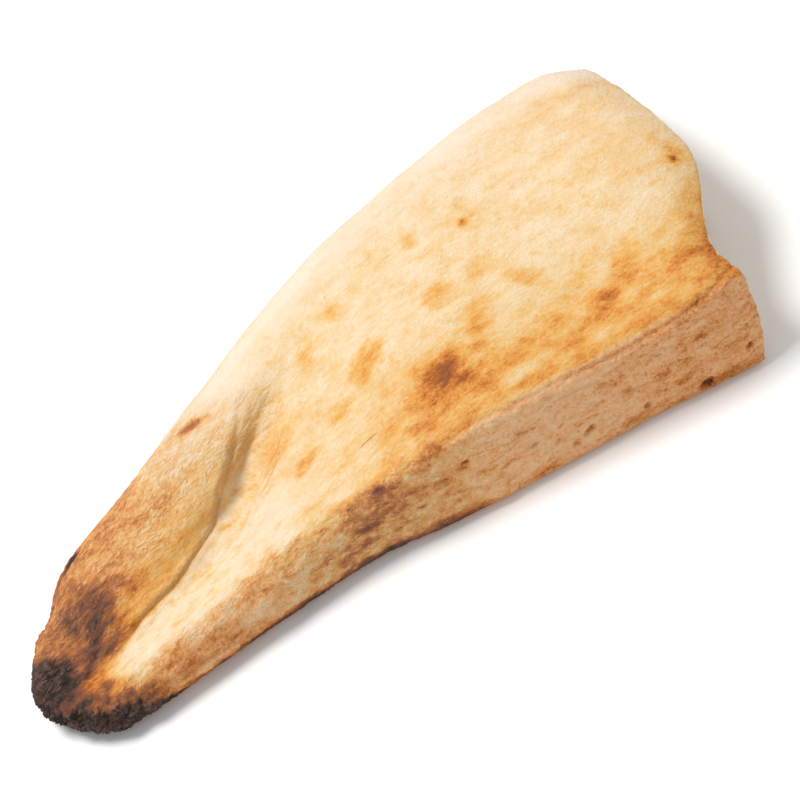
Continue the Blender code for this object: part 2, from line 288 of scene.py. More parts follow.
# Toasted places of the top, as they lie from the cut to the tip.
TOP_SCORCHES = (
    Scorch((-21.6, 15.4, 33.8), 12.0, 8.6, 0.26, 8.0),
    Scorch((-24.4, 14.0, 34.2), 5.4, 3.2, 0.22, 14.0),
    Scorch((-29.3, 25.3, 33.0), 6.0, 3.6, 0.07, 60.0),
    Scorch((-36.8, -6.0, 36.2), 5.0, 3.6, 0.20, 30.0),
    Scorch((-49.4, -3.7, 36.2), 3.8, 2.8, 0.15),
    Scorch((-58.0, 9.0, 36.1), 6.4, 2.8, 0.17, 118.0),
    Scorch((-39.4, 10.0, 35.7), 9.0, 4.2, 0.15, 56.0),
    Scorch((-36.6, 14.6, 35.1), 3.4, 2.2, 0.10, 56.0),
    Scorch((-56.7, -19.8, 35.8), 1.7, 1.3, 0.30, 40.0),
    Scorch((-56.7, -19.8, 35.8), 4.0, 3.4, 0.06),
    Scorch((-42.6, -27.3, 35.1), 2.6, 2.2, 0.18),
    Scorch((-70.2, 30.2, 34.4), 3.6, 2.4, 0.20, 20.0),
    Scorch((-70.2, 30.2, 34.4), 9.0, 5.6, 0.08, 20.0),
    Scorch((-81.1, 25.3, 35.7), 5.4, 3.6, 0.18, 40.0),
    Scorch((-79.6, 31.8, 35.2), 7.0, 3.0, 0.12, 110.0),
    Scorch((-93.6, 35.0, 34.8), 7.0, 4.0, 0.10, 30.0),
    Scorch((-96.0, 43.4, 33.4), 5.0, 2.8, 0.07, 30.0),
    Scorch((-71.5, 18.4, 35.6), 7.0, 3.6, 0.07, 30.0),
    Scorch((-55.0, 25.1, 34.4), 8.0, 4.0, 0.10, 24.0),
    Scorch((-53.8, 35.0, 33.1), 8.0, 4.0, 0.08, 20.0),
    Scorch((-44.0, 25.2, 34.1), 6.0, 2.8, 0.07, 24.0),
    Scorch((-9.2, -5.5, 32.8), 7.2, 4.2, 0.24, 14.0),
    Scorch((3.0, -1.8, 28.5), 5.0, 3.0, 0.13, 10.0),
    Scorch((1.9, 14.6, 28.4), 5.0, 2.2, 0.08, 8.0),
    Scorch((0.9, -22.1, 30.2), 4.4, 2.6, 0.16, 24.0),
    Scorch((-12.9, -26.6, 33.1), 3.4, 2.6, 0.12),
    Scorch((19.6, 0.8, 22.9), 6.4, 2.4, 0.24, 10.0),
    Scorch((24.0, -10.6, 21.6), 16.0, 4.4, 0.12, 22.0),
    Scorch((-10.7, 21.6, 30.6), 7.0, 1.6, 0.08, -8.0),
    Scorch((-12.0, 30.0, 27.4), 6.0, 2.4, 0.16, -14.0),
    Scorch((4.0, 24.6, 25.6), 9.0, 2.6, 0.12, -18.0),
    Scorch((-111.2, 8.3, 34.8), 1.6, 1.3, 0.42, 30.0),
    Scorch((-111.0, 7.6, 34.9), 4.6, 3.4, 0.15, 30.0),
    Scorch((-111.6, -1.7, 35.3), 2.4, 1.9, 0.15, 60.0),
    Scorch((-113.8, 4.6, 34.2), 2.6, 1.9, 0.15, 60.0),
    Scorch((-77.0, 47.2, 32.4), 10.0, 1.5, -0.12, -10.0),
    Scorch((-93.0, 46.4, 33.8), 4.0, 3.0, 0.14, -10.0),
)
# Toasted places of the roll, left of the fold, and of the tip.
ROLL_SCORCHES = (
    Scorch((37.6, -33.4, 24.6), 4.2, 1.6, 0.22, -14.0),
    Scorch((34.0, -31.2, 25.4), 4.6, 1.5, 0.20, -10.0),
    Scorch((36.4, -32.6, 25.0), 7.0, 3.0, 0.12, -6.0),
    # More toast on the fold's wall, partly painted shade.
    Scorch((33.0, -14.2, 21.6), 13.0, 4.4, 0.06, 26.0),
    Scorch((89.0, -0.6, 15.8), 8.0, 2.8, 0.12, 22.0),
    Scorch((56.0, -19.6, 23.6), 6.0, 2.0, 0.20, 4.0),
    Scorch((62.4, -20.4, 22.8), 5.0, 1.8, 0.14, 4.0),
    Scorch((67.5, -22.0, 22.2), 4.0, 1.6, 0.18, 10.0),
    Scorch((72.0, -26.0, 20.3), 12.0, 4.0, 0.10, 6.0),
    Scorch((77.2, -8.0, 19.2), 5.0, 2.6, 0.16, 12.0),
    Scorch((80.0, -14.0, 20.0), 6.0, 4.0, 0.10, 12.0),
    Scorch((91.0, -11.0, 18.8), 10.0, 8.0, 0.22, 10.0),
    Scorch((88.0, -7.0, 18.4), 5.0, 4.0, 0.12, 20.0),
    Scorch((94.0, -4.6, 17.2), 5.0, 2.4, 0.14, 34.0),
    Scorch((98.4, 0.6, 16.2), 6.5, 2.2, 0.18, 40.0),
    Scorch((102.9, -7.8, 16.8), 4.4, 3.6, -0.14, 20.0),
    Scorch((84.0, 0.2, 14.8), 9.0, 1.4, 0.12, 14.0),
    Scorch((93.0, 2.0, 14.4), 7.0, 2.2, 0.16, 34.0),
    Scorch((102.0, 8.4, 14.4), 6.0, 2.6, 0.12, 34.0),
    Scorch((86.4, -28.0, 16.4), 4.2, 1.3, 0.56, 14.0),
    Scorch((-70.0, -56.0, 17.0), 17.0, 7.0, 0.13, 2.0),
    Scorch((-22.0, -54.0, 12.0), 14.0, 5.0, 0.15, 4.0),
    Scorch((14.0, -50.0, 16.0), 12.0, 5.0, 0.14, 8.0),
    Scorch((44.0, -43.0, 12.0), 12.0, 5.0, 0.16, 10.0),
)
# Toasted places of the slanted side and of the flap's outer rim.
SIDE_SCORCHES = (
    Scorch((18.4, 25.4, 16.0), 6.0, 1.8, 0.18, 14.0),
    Scorch((19.6, 26.0, 11.0), 5.0, 1.6, 0.18, 14.0),
    Scorch((27.6, 25.0, 10.4), 4.6, 1.6, 0.18, 10.0),
    Scorch((2.6, 30.4, 14.4), 3.6, 1.8, 0.20, 20.0),
    Scorch((13.0, 26.4, 17.4), 14.0, 7.0, 0.16, -6.0),
    Scorch((-7.8, 29.0, 27.6), 6.0, 3.6, 0.15, -16.0),
    Scorch((-11.2, 32.6, 19.4), 2.6, 2.0, 0.22, 100.0),
    Scorch((-16.6, 35.4, 14.5), 3.0, 1.2, 0.16),
    Scorch((-4.0, 31.6, 18.6), 2.6, 1.2, 0.16),
    Scorch((-68.9, 48.4, 14.4), 3.4, 1.6, 0.12, 20.0),
    Scorch((-73.0, 50.6, 9.8), 3.6, 1.8, 0.16, 20.0),
    Scorch((-48.0, 42.6, 16.0), 8.0, 1.4, 0.12, 4.0),
    Scorch((-58.0, 44.0, 22.0), 9.0, 1.4, 0.10, 4.0),
    Scorch((10.0, 27.6, 15.0), 14.0, 7.0, 0.06),
    Scorch((20.0, 20.6, 23.9), 9.0, 1.8, 0.16, -16.0),
    Scorch((6.0, 25.8, 24.9), 7.0, 1.8, 0.15, -14.0),
    Scorch((34.0, 20.0, 20.6), 8.0, 2.6, 0.14, -14.0),
    Scorch((-8.0, 32.0, 17.0), 6.0, 4.0, 0.12),
    Scorch((-24.0, 36.0, 17.0), 10.0, 4.0, 0.05),
    Scorch((-72.0, 49.4, 12.0), 10.0, 5.0, 0.07),
    Scorch((-84.0, 53.6, 4.6), 9.0, 2.2, 0.20),
    Scorch((-57.0, 46.8, 4.6), 9.0, 1.8, 0.16),
    Scorch((-78.0, 52.9, 4.4), 2.4, 1.2, 0.16),
    Scorch((-28.0, 40.0, 4.0), 12.0, 2.4, 0.14),
    Scorch((-4.0, 34.0, 3.4), 12.0, 2.8, 0.22),
    Scorch((20.0, 29.0, 3.4), 14.0, 2.8, 0.26),
    Scorch((46.0, 24.6, 3.6), 14.0, 3.0, 0.22),
    Scorch((54.0, 20.6, 13.0), 10.0, 2.6, -0.10),
    Scorch((72.0, 20.0, 10.0), 9.0, 3.4, 0.12),
    Scorch((88.0, 17.0, 11.0), 12.0, 5.0, 0.16),
)
SIDE_CREASE = Crease(
    (
        (-102.0, 44.6, 31.2), (-98.0, 46.6, 32.2), (-90.0, 48.2, 32.2), (-81.5, 48.3, 32.0),
        (-61.3, 43.2, 30.0), (-49.2, 39.8, 30.4), (-33.2, 35.6, 30.3), (-17.3, 30.3, 30.1),
        (-4.4, 27.9, 28.5), (11.8, 24.0, 24.7), (26.7, 19.2, 22.6), (36.0, 15.6, 21.6),
    ),
    depth=0.40, width=0.75, stain_and_shade=0.12, bank=0.32, bank_side=-1, fade=(1.0, 110.0),
)
FOLD = Crease(
    (
        (27.0, -21.6, 24.8), (33.2, -17.1, 23.5), (40.7, -12.0, 21.3), (48.4, -5.9, 18.2),
        (54.5, -4.0, 17.2), (61.4, -2.0, 16.2), (68.5, -0.6, 15.2), (80.1, 0.2, 14.5),
        (87.3, 1.8, 13.8), (92.0, 4.2, 13.9),
    ),
    depth=0.90, width=0.74, stain_and_shade=0.13, bank=0.4, fade=(14.0, 7.0),
)
CREASES = (
    SIDE_CREASE,
    FOLD,
    # The hollow that the fold opens, and a second crease at its bottom.
    Crease(
        (
            (6.0, -25.0, 29.6), (16.0, -21.0, 26.2), (24.0, -17.4, 23.0), (31.0, -14.0, 21.0),
            (38.0, -10.6, 18.8), (46.0, -7.8, 17.6), (54.4, -5.8, 17.4), (64.0, -4.4, 16.6),
            (74.0, -3.4, 15.8), (84.0, -2.6, 15.2),
        ),
        depth=5.0, width=4.6, stain_and_shade=0.03, fade=(32.0, 52.0),
    ),
    Crease(
        (
            (12.0, -24.0, 27.2), (18.7, -21.3, 24.9), (24.8, -17.9, 23.1), (31.2, -14.2, 21.1),
            (38.3, -9.9, 18.5), (46.0, -5.4, 17.0),
        ),
        depth=0.95, width=1.4, stain_and_shade=0.06, fade=(20.0, 8.0),
    ),
    # A fine crease right of the fold, and one that joins it from the left.
    Crease(
        (
            (7.6, -20.3, 27.4), (18.0, -16.4, 23.4), (27.0, -12.4, 20.6), (36.0, -7.6, 18.4),
            (43.0, -3.6, 17.0),
        ),
        depth=0.30, width=0.5, stain_and_shade=0.05, fade=(14.0, 10.0),
    ),
    Crease(
        (
            (14.0, -29.4, 28.0), (21.8, -27.0, 26.5), (26.7, -22.1, 25.0), (33.2, -17.1, 23.5),
            (40.0, -13.0, 21.6),
        ),
        depth=0.55, width=1.3, stain_and_shade=0.04, fade=(12.0, 10.0),
    ),
    # Creases of the tip, on its top and low on its left.
    Crease(
        (
            (88.0, -6.6, 18.2), (92.5, -3.4, 16.9), (96.8, 0.2, 15.9), (102.2, 3.4, 14.8),
            (106.0, 6.2, 14.4),
        ),
        depth=0.8, width=1.1, stain_and_shade=0.13, fade=(8.0, 4.0),
    ),
    Crease(
        (
            (80.0, -28.6, 18.0), (87.8, -27.6, 15.6), (97.0, -23.0, 14.0), (107.1, -17.0, 12.6),
            (112.0, -11.4, 13.6),
        ),
        depth=0.8, width=0.6, stain_and_shade=0.24, bank=0.5, fade=(5.0, 8.0),
    ),
    # Short creases of the slanted side.
    Crease(
        ((-56.0, 44.2, 18.0), (-60.0, 45.4, 17.0), (-66.0, 46.8, 16.0)),
        depth=0.30, width=0.5, stain_and_shade=0.05, fade=(3.0, 3.0),
    ),
    Crease(
        ((-25.3, 36.0, 20.5), (-28.9, 37.0, 20.4), (-31.9, 38.0, 19.0)),
        depth=0.6, width=0.5, stain_and_shade=0.26, fade=(2.0, 2.0),
    ),
    Crease(
        ((-18.3, 36.6, 11.7), (-22.7, 37.2, 13.3), (-25.9, 38.1, 12.7)),
        depth=0.6, width=0.5, stain_and_shade=0.22, fade=(2.0, 2.0),
    ),
    Crease(
        ((-2.6, 31.9, 13.8), (-9.3, 34.2, 11.4), (-15.7, 36.7, 8.5)),
        depth=0.4, width=0.7, stain_and_shade=0.14, fade=(3.0, 3.0),
    ),
)
HAIRLINES = (
    Hairline(((-0.6, 12.2, 28.9), (2.1, 11.8, 28.4), (4.7, 11.4, 27.7), (7.6, 11.2, 26.9)), 1.0, 2.0),
    Hairline(((15.8, -13.7, 23.3), (21.3, -11.7, 21.5), (27.0, -9.6, 20.1), (35.0, -7.0, 18.2)), 0.62, 8.0),
    Hairline(((17.9, -8.8, 22.8), (23.6, -7.9, 21.1), (30.8, -5.4, 19.4), (38.4, -3.2, 17.8)), 0.55, 8.0),
    Hairline(((24.0, -4.6, 21.4), (33.0, -2.4, 19.6), (44.0, -0.2, 17.8)), 0.25, 8.0),
    Hairline(((44.0, -3.0, 16.6), (51.0, -0.6, 16.2), (58.0, 1.2, 15.8)), 0.35, 5.0),
    Hairline(((16.4, -28.0, 27.4), (20.3, -27.1, 26.6), (24.9, -26.0, 26.0)), 0.4, 3.0),
    Hairline(((-40.0, 39.0, 25.0), (-48.0, 41.0, 24.6), (-56.0, 43.0, 24.0)), 0.3, 5.0),
    Hairline(((-66.0, 43.6, 32.4), (-76.0, 44.6, 33.4), (-88.0, 46.4, 33.6)), 0.4, 7.0),
    Hairline(((-72.0, 36.6, 33.9), (-82.0, 39.0, 34.2), (-97.0, 42.0, 33.6)), 0.3, 9.0),
)
SIDE_PITS = (
    Pit((-93.1, 55.3, 9.6), 1.6, 0.7, 0.9, 0.5),
    Pit((-78.4, 52.9, 4.9), 2.6, 1.3, 0.8, 0.3),
    Pit((-61.7, 47.6, 7.4), 1.3, 0.9, 0.9, 0.6),
    Pit((-44.8, 43.1, 9.4), 2.4, 0.9, 0.9, 0.5),
    Pit((-40.4, 42.4, 7.6), 1.6, 1.2, 0.7, 0.5),
    Pit((-12.0, 32.6, 20.6), 1.6, 0.5, 0.5, 0.2),
    Pit((-30.0, 38.6, 14.4), 1.5, 0.4, 0.5, 0.2),
    Pit((-68.0, 48.4, 9.6), 0.9, 0.5, 0.5, 0.4),
)
SIDE_PORES = PoreRule(80, (0.35, 1.5), (0.20, 0.40), (0.15, 0.45), 0.3, 3.0, 11)
CRUMB_PORES = PoreRule(430, (0.50, 3.8), (0.40, 0.80), (0.9, 2.6), 0.6, 3.6, 23)
# How high the burn reaches up the tip's right and left faces, along the loaf.
CHAR_RIGHT: Line = (
    (76.0, -3.0), (84.0, 4.4), (90.0, 8.4), (96.0, 11.4), (102.0, 14.0), (107.0, 14.6), (112.0, 14.2),
    (116.0, 14.2),
)
CHAR_LEFT: Line = ((103.0, -3.0), (108.0, 4.0), (112.0, 9.5), (116.0, 14.0))
# Where smoke has dulled the tip's brown crust.
SMOKE = Scorch((93.0, -10.0, 18.4), 9.0, 8.0, 0.32, 14.0)
# Where shade is painted on the skin, down in the fold and on both its banks.
FOLD_SHADE_PLACES = (
    Scorch((24.0, -21.5, 25.0), 9.0, 4.2, 0.30, 34.0),
    Scorch((33.0, -15.6, 22.6), 9.0, 4.4, 0.70, 36.0),
    Scorch((42.0, -9.6, 19.6), 8.0, 3.6, 0.80, 34.0),
    Scorch((50.0, -5.8, 18.0), 8.0, 3.0, 0.90, 24.0),
    Scorch((60.0, -3.0, 16.6), 9.0, 2.4, 0.90, 14.0),
    Scorch((71.0, -1.2, 15.4), 9.0, 1.7, 0.65, 6.0),
)
# The left edge of the loaf, as seen from above.
LEFT_EDGE: Line = (
    (-118.0, -50.0), (-100.0, -56.0), (-30.0, -56.5), (0.0, -53.0), (30.0, -47.0), (54.0, -41.0),
)


# ---------------------------------------------------------------- the loaf's form

@dataclass
class Zones:
    """Where the loaf's faces lie, one share from 0 to 1 for each point, and how its dough runs."""

    side: np.ndarray
    roll: np.ndarray
    flank: np.ndarray  # the roll's smooth face towards the fold
    rim: np.ndarray
    crumb: np.ndarray
    under: np.ndarray
    leftward: np.ndarray  # how far the face looks left, 1, or right, -1
    flow: np.ndarray  # the coordinate that follows the dough's stretch


@dataclass
class Loaf:
    """The end piece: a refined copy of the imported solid, and the measures of its form."""

    node: bpy.types.Object
    voxel: float = 1.08 * MM
    smoothing_rounds: int = 3
    underside_share: float = 0.3  # of the underside's triangles that are kept
    cut_normal: float = -0.60  # a face that looks back more than this belongs to the cut
    cut_reach: float = -82.0 * MM  # and it lies before this place along the loaf
    cut_grown: int = 4  # rounds by which the cut's faces grow, to take in the pockets among them
    cut_shrunk: int = 7  # and by which they then shrink, to stay clear of the cut's rim
    tip_start: float = 94.0 * MM
    side_end: float = 34.0 * MM
    roll_start: float = 12.0 * MM
    straight_from: float = -94.0 * MM  # the dough's stretch runs straight before this place
    straight_to: float = 98.0 * MM  # and after this one
    gather: float = 0.4  # how far the stretch narrows with the loaf, 0 not at all to 1 fully
    blister_place: Point = (106.6, 0.4, 16.0)  # of the burst blister's edge, in millimetres
    blister_turn: float = 40.0  # of that edge from the loaf's length, in degrees
    blister_size: tuple[float, float] = (6.0, 6.6)  # its half length and half width
    tip_lean: float = 0.36  # how far the tip's face leans forwards, for each length up
    piece: bpy.types.Object | None = None
    points: np.ndarray = field(default_factory=lambda: np.zeros((0, 3)))
    normals: np.ndarray = field(default_factory=lambda: np.zeros((0, 3)))

    def shape(self) -> None:
        """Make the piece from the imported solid, fine enough for its relief."""
        self.copy_form()
        self.refine()
        self.read()

    def copy_form(self) -> None:
        """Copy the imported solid, merge its loose triangles and round off its facets."""
        bpy.ops.object.select_all(action="DESELECT")
        self.node.select_set(True)
        bpy.context.view_layer.objects.active = self.node
        bpy.ops.object.duplicate()
        self.piece = bpy.context.view_layer.objects.active
        self.piece.name = "shoti_crust"
        self.piece.data.name = "shoti_crust"
        bpy.ops.object.parent_clear(type="CLEAR_KEEP_TRANSFORM")
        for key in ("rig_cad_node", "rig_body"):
            del self.piece[key]
        bpy.ops.object.mode_set(mode="EDIT")
        bpy.ops.mesh.select_all(action="SELECT")
        bpy.ops.mesh.remove_doubles(threshold=0.000002)
        bpy.ops.mesh.tris_convert_to_quads(face_threshold=0.7, shape_threshold=0.9)
        bpy.ops.mesh.normals_make_consistent(inside=False)
        bpy.ops.object.mode_set(mode="OBJECT")
        self.crease_cut_rim()
        self.apply_modifier("SUBSURF", levels=2, render_levels=2)
        self.apply_modifier("REMESH", mode="VOXEL", voxel_size=self.voxel)

    def crease_cut_rim(self) -> None:
        """Keep the rim of the cut crisp while the rest is rounded."""
        mesh = self.piece.data
        behind = {face.index for face in mesh.polygons if self.is_cut_face(face)}
        seen: dict[tuple[int, int], list[bool]] = {}
        for face in mesh.polygons:
            for key in face.edge_keys:
                seen.setdefault(key, []).append(face.index in behind)
        crease = mesh.attributes.new("crease_edge", "FLOAT", "EDGE")
        for edge in mesh.edges:
            sides = seen[edge.key]
            crease.data[edge.index].value = 0.9 if any(sides) and not all(sides) else 0.0

    def apply_modifier(self, kind: str, **settings: object) -> None:
        """Add a modifier to the piece and apply it.

        Args:
            kind: The modifier's type.
            settings: Its settings by name.
        """
        modifier = self.piece.modifiers.new(kind.lower(), kind)
        for name, value in settings.items():
            setattr(modifier, name, value)
        bpy.context.view_layer.objects.active = self.piece
        bpy.ops.object.modifier_apply(modifier=modifier.name)

    def refine(self) -> None:
        """Even out the mesh, thin it on the underside, and refine it where the forms are fine."""
        bpy.ops.object.mode_set(mode="EDIT")
        bpy.ops.mesh.select_all(action="SELECT")
        bpy.ops.mesh.vertices_smooth(factor=0.5, repeat=self.smoothing_rounds)
        bpy.ops.object.mode_set(mode="OBJECT")
        self.select_faces(self.is_underside)
        bpy.ops.object.mode_set(mode="EDIT")
        bpy.ops.mesh.decimate(ratio=self.underside_share)
        bpy.ops.object.mode_set(mode="OBJECT")
        self.select_faces(self.is_fine_face)
        bpy.ops.object.mode_set(mode="EDIT")
        bpy.ops.mesh.subdivide(number_cuts=1, smoothness=0.0)
        bpy.ops.mesh.select_all(action="SELECT")
        bpy.ops.mesh.normals_make_consistent(inside=False)
        bpy.ops.object.mode_set(mode="OBJECT")

    def is_cut_face(self, face: bpy.types.MeshPolygon) -> bool:
        """Whether a face looks back along the loaf, at the cut."""
        return face.normal.x < self.cut_normal and face.center.x < self.cut_reach

    def is_underside(self, face: bpy.types.MeshPolygon) -> bool:
        """Whether a face lies flat on the underside, clear of its edge."""
        return face.normal.z < -0.98 and face.center.z < 0.3 * MM and face.center.x < self.tip_start

    def is_fine_face(self, face: bpy.types.MeshPolygon) -> bool:
        """Whether a face lies where the forms are fine.

        Args:
            face: A face of the piece.

        Returns:
            True at the cut, on the slanted side, on the roll, its fold, the flap's rim and the tip.
        """
        x, y, z = face.center
        _, rightward, upward = face.normal
        if upward < -0.6:
            return False
        raised = z > 0.8 * MM
        on_side = raised and y > 20.0 * MM and rightward > 0.55 and x < self.side_end
        on_rim = raised and y > 13.0 * MM and rightward > 0.2 and x > self.side_end - 4.0 * MM
        on_roll = x > 14.0 * MM and -36.0 * MM < y < 4.0 * MM and upward > 0.2 and z < 27.0 * MM
        return self.is_cut_face(face) or x > self.tip_start or on_side or on_rim or on_roll

    def select_faces(self, wanted: Callable[[bpy.types.MeshPolygon], bool]) -> None:
        """Select the faces that a test wants, and no others.

        Args:
            wanted: The test, which says of a face whether it is wanted.
        """
        bpy.ops.object.mode_set(mode="EDIT")
        bpy.ops.mesh.select_mode(type="FACE")
        bpy.ops.mesh.select_all(action="DESELECT")
        bpy.ops.object.mode_set(mode="OBJECT")
        for face in self.piece.data.polygons:
            face.select = wanted(face)

    def read(self) -> None:
        """Read the piece's points and normals into arrays."""
        mesh = self.piece.data
        flat = np.zeros(len(mesh.vertices) * 3, np.float32)
        mesh.vertices.foreach_get("co", flat)
        self.points = flat.reshape(-1, 3).astype(float)
        mesh.vertex_normals.foreach_get("vector", flat)
        self.normals = flat.reshape(-1, 3).astype(float)

    def move(self, shift: np.ndarray) -> None:
        """Move the points, with none going below the surface the loaf lies on.

        Args:
            shift: How far each point goes along each axis.
        """
        self.points += shift
        self.points[:, 2] = np.maximum(self.points[:, 2], 0.0)
        self.piece.data.vertices.foreach_set("co", self.points.astype(np.float32).ravel())
        self.piece.data.update()
        self.read()

    def survey(self) -> Zones:
        """Find where the loaf's faces lie.

        Returns:
            The shares of each face, and the coordinate that follows the dough's stretch.
        """
        x, y, _ = self.points.T
        crumb = self.find_crumb()
        skin = 1.0 - crumb
        side = smooth_step(0.50, 0.80, self.normals[:, 1])
        streaks = 0.30 * wander(self.points, (7.0, 2.6, 2.6), 91.0)
        into_rim = smooth_step(-24.0 * MM, 4.0 * MM, x + 16.0 * MM * streaks)
        side *= 1.0 - into_rim
        ragged = 1.5 * streaks + 0.22 * wander(self.points, (3.4, 1.3, 1.3), 93.0)
        rim = smooth_step(-0.02, 0.74, self.normals[:, 1] + ragged) * into_rim * (y > 8.0 * MM)
        left_of_fold = smooth_step(1.0 * MM, -2.5 * MM, y - self.fold_line(x))
        roll = left_of_fold * smooth_step(self.roll_start, self.roll_start + 40.0 * MM, x)
        flank = smooth_step(0.16, 0.46, self.normals[:, 1] + 0.3 * streaks)
        flank *= roll * smooth_step(96.0 * MM, 82.0 * MM, x)
        return Zones(
            side=side * skin,
            roll=roll * skin,
            flank=flank * skin,
            rim=rim * skin,
            crumb=crumb,
            under=smooth_step(-0.5, -0.9, self.normals[:, 2]),
            leftward=-self.normals[:, 1],
            flow=self.flow(),
        )

    def flow(self) -> np.ndarray:
        """A coordinate that follows the stretch of the dough.

        Returns:
            For each point its place along the loaf, its place across, spread where the loaf is
            narrow, and its height.
        """
        x, y, z = self.points.T
        places, left = strip_ends(x, y, 60, np.min)
        _, right = strip_ends(x, y, 60, np.max)
        held = np.clip(x, self.straight_from, self.straight_to)
        middle = np.interp(held, places, (left + right) / 2.0)
        half = np.interp(held, places, (right - left) / 2.0)
        return np.stack((x, (y - middle) * (half.max() / half) ** self.gather, z), axis=1)

    def find_crumb(self) -> np.ndarray:
        """Which points belong to the cut: the faces that look back, with the pockets among them.

        Returns:
            A share from 0 to 1 for each point.
        """
        self.select_faces(self.is_cut_face)
        bpy.ops.object.mode_set(mode="EDIT")
        for _ in range(self.cut_grown):
            bpy.ops.mesh.select_more()
        for _ in range(self.cut_shrunk):
            bpy.ops.mesh.select_less()
        bpy.ops.object.mode_set(mode="OBJECT")
        mesh = self.piece.data
        share = np.zeros(len(mesh.vertices))
        for face in mesh.polygons:
            if face.select:
                share[list(face.vertices)] = 1.0
        return share

    def blister(self, fray: np.ndarray) -> np.ndarray:
        """The burst blister on the tip, with a crisp edge on its right.

        Args:
            fray: Noise that frays its outline.

        Returns:
            A share from 0 to 1 for each point.
        """
        offset = self.points - np.array(self.blister_place) * MM
        along, across = turn_axes(offset[:, 0], offset[:, 1], math.radians(self.blister_turn))
        length, width = (size * MM for size in self.blister_size)
        reach = np.hypot((along - 1.0 * MM) / length, (across + 5.0 * MM) / width) + 0.3 * fray
        edge = smooth_step(0.7 * MM, -0.5 * MM, across + 0.7 * MM * fray)
        return smooth_step(1.2, 0.6, reach) * edge * (self.normals[:, 2] > 0.0)

    def leaning(self) -> np.ndarray:
        """The points, sheared so that noise read there runs down the tip's leaning face."""
        return self.points @ np.array(((1.0, 0.0, 0.0), (0.0, 1.0, 0.0), (self.tip_lean, 0.0, 1.0)))

    def fold_line(self, x: np.ndarray) -> np.ndarray:
        """How far from the middle line the fold lies, for places along the loaf."""
        route = np.array(((self.roll_start / MM, -26.0, 0.0), *FOLD.route)) * MM
        return np.interp(x, route[:, 0], route[:, 1])

    def follow(self, route: tuple[Point, ...], reach: float) -> tuple[np.ndarray, ...]:
        """Find the points that lie near a line on the crust.

        Args:
            route: The line's own points, in millimetres.
            reach: How far from the line a point may lie.

        Returns:
            The near points' numbers, how far each lies across the line, how far it lies past the
            line's ends, and its run from the first and from the last end.
        """
        step = 0.5 * MM
        curve = glide(np.array(route) * MM, step)
        line = np.array([self.piece.closest_point_on_mesh(Vector(place))[1] for place in curve.tolist()])
        inside = (self.points > line.min(axis=0) - reach) & (self.points < line.max(axis=0) + reach)
        near = np.nonzero(inside.all(axis=1))[0]
        gaps = np.linalg.norm(self.points[near, None, :] - line[None, :, :], axis=2)
        keep = gaps.min(axis=1) < reach
        near, gaps = near[keep], gaps[keep]
        nearest = gaps.argmin(axis=1)
        ahead = np.gradient(line, axis=0)[nearest]
        ahead /= np.linalg.norm(ahead, axis=1)[:, None]
        aside = np.cross(ahead, self.normals[near])
        offset = ((self.points[near] - line[nearest]) * aside).sum(axis=1)
        past = np.maximum(gaps.min(axis=1) - np.abs(offset) - 0.6 * MM, 0.0)
        return near, offset, past, nearest * step, (len(line) - 1 - nearest) * step


# ---------------------------------------------------------------- relief

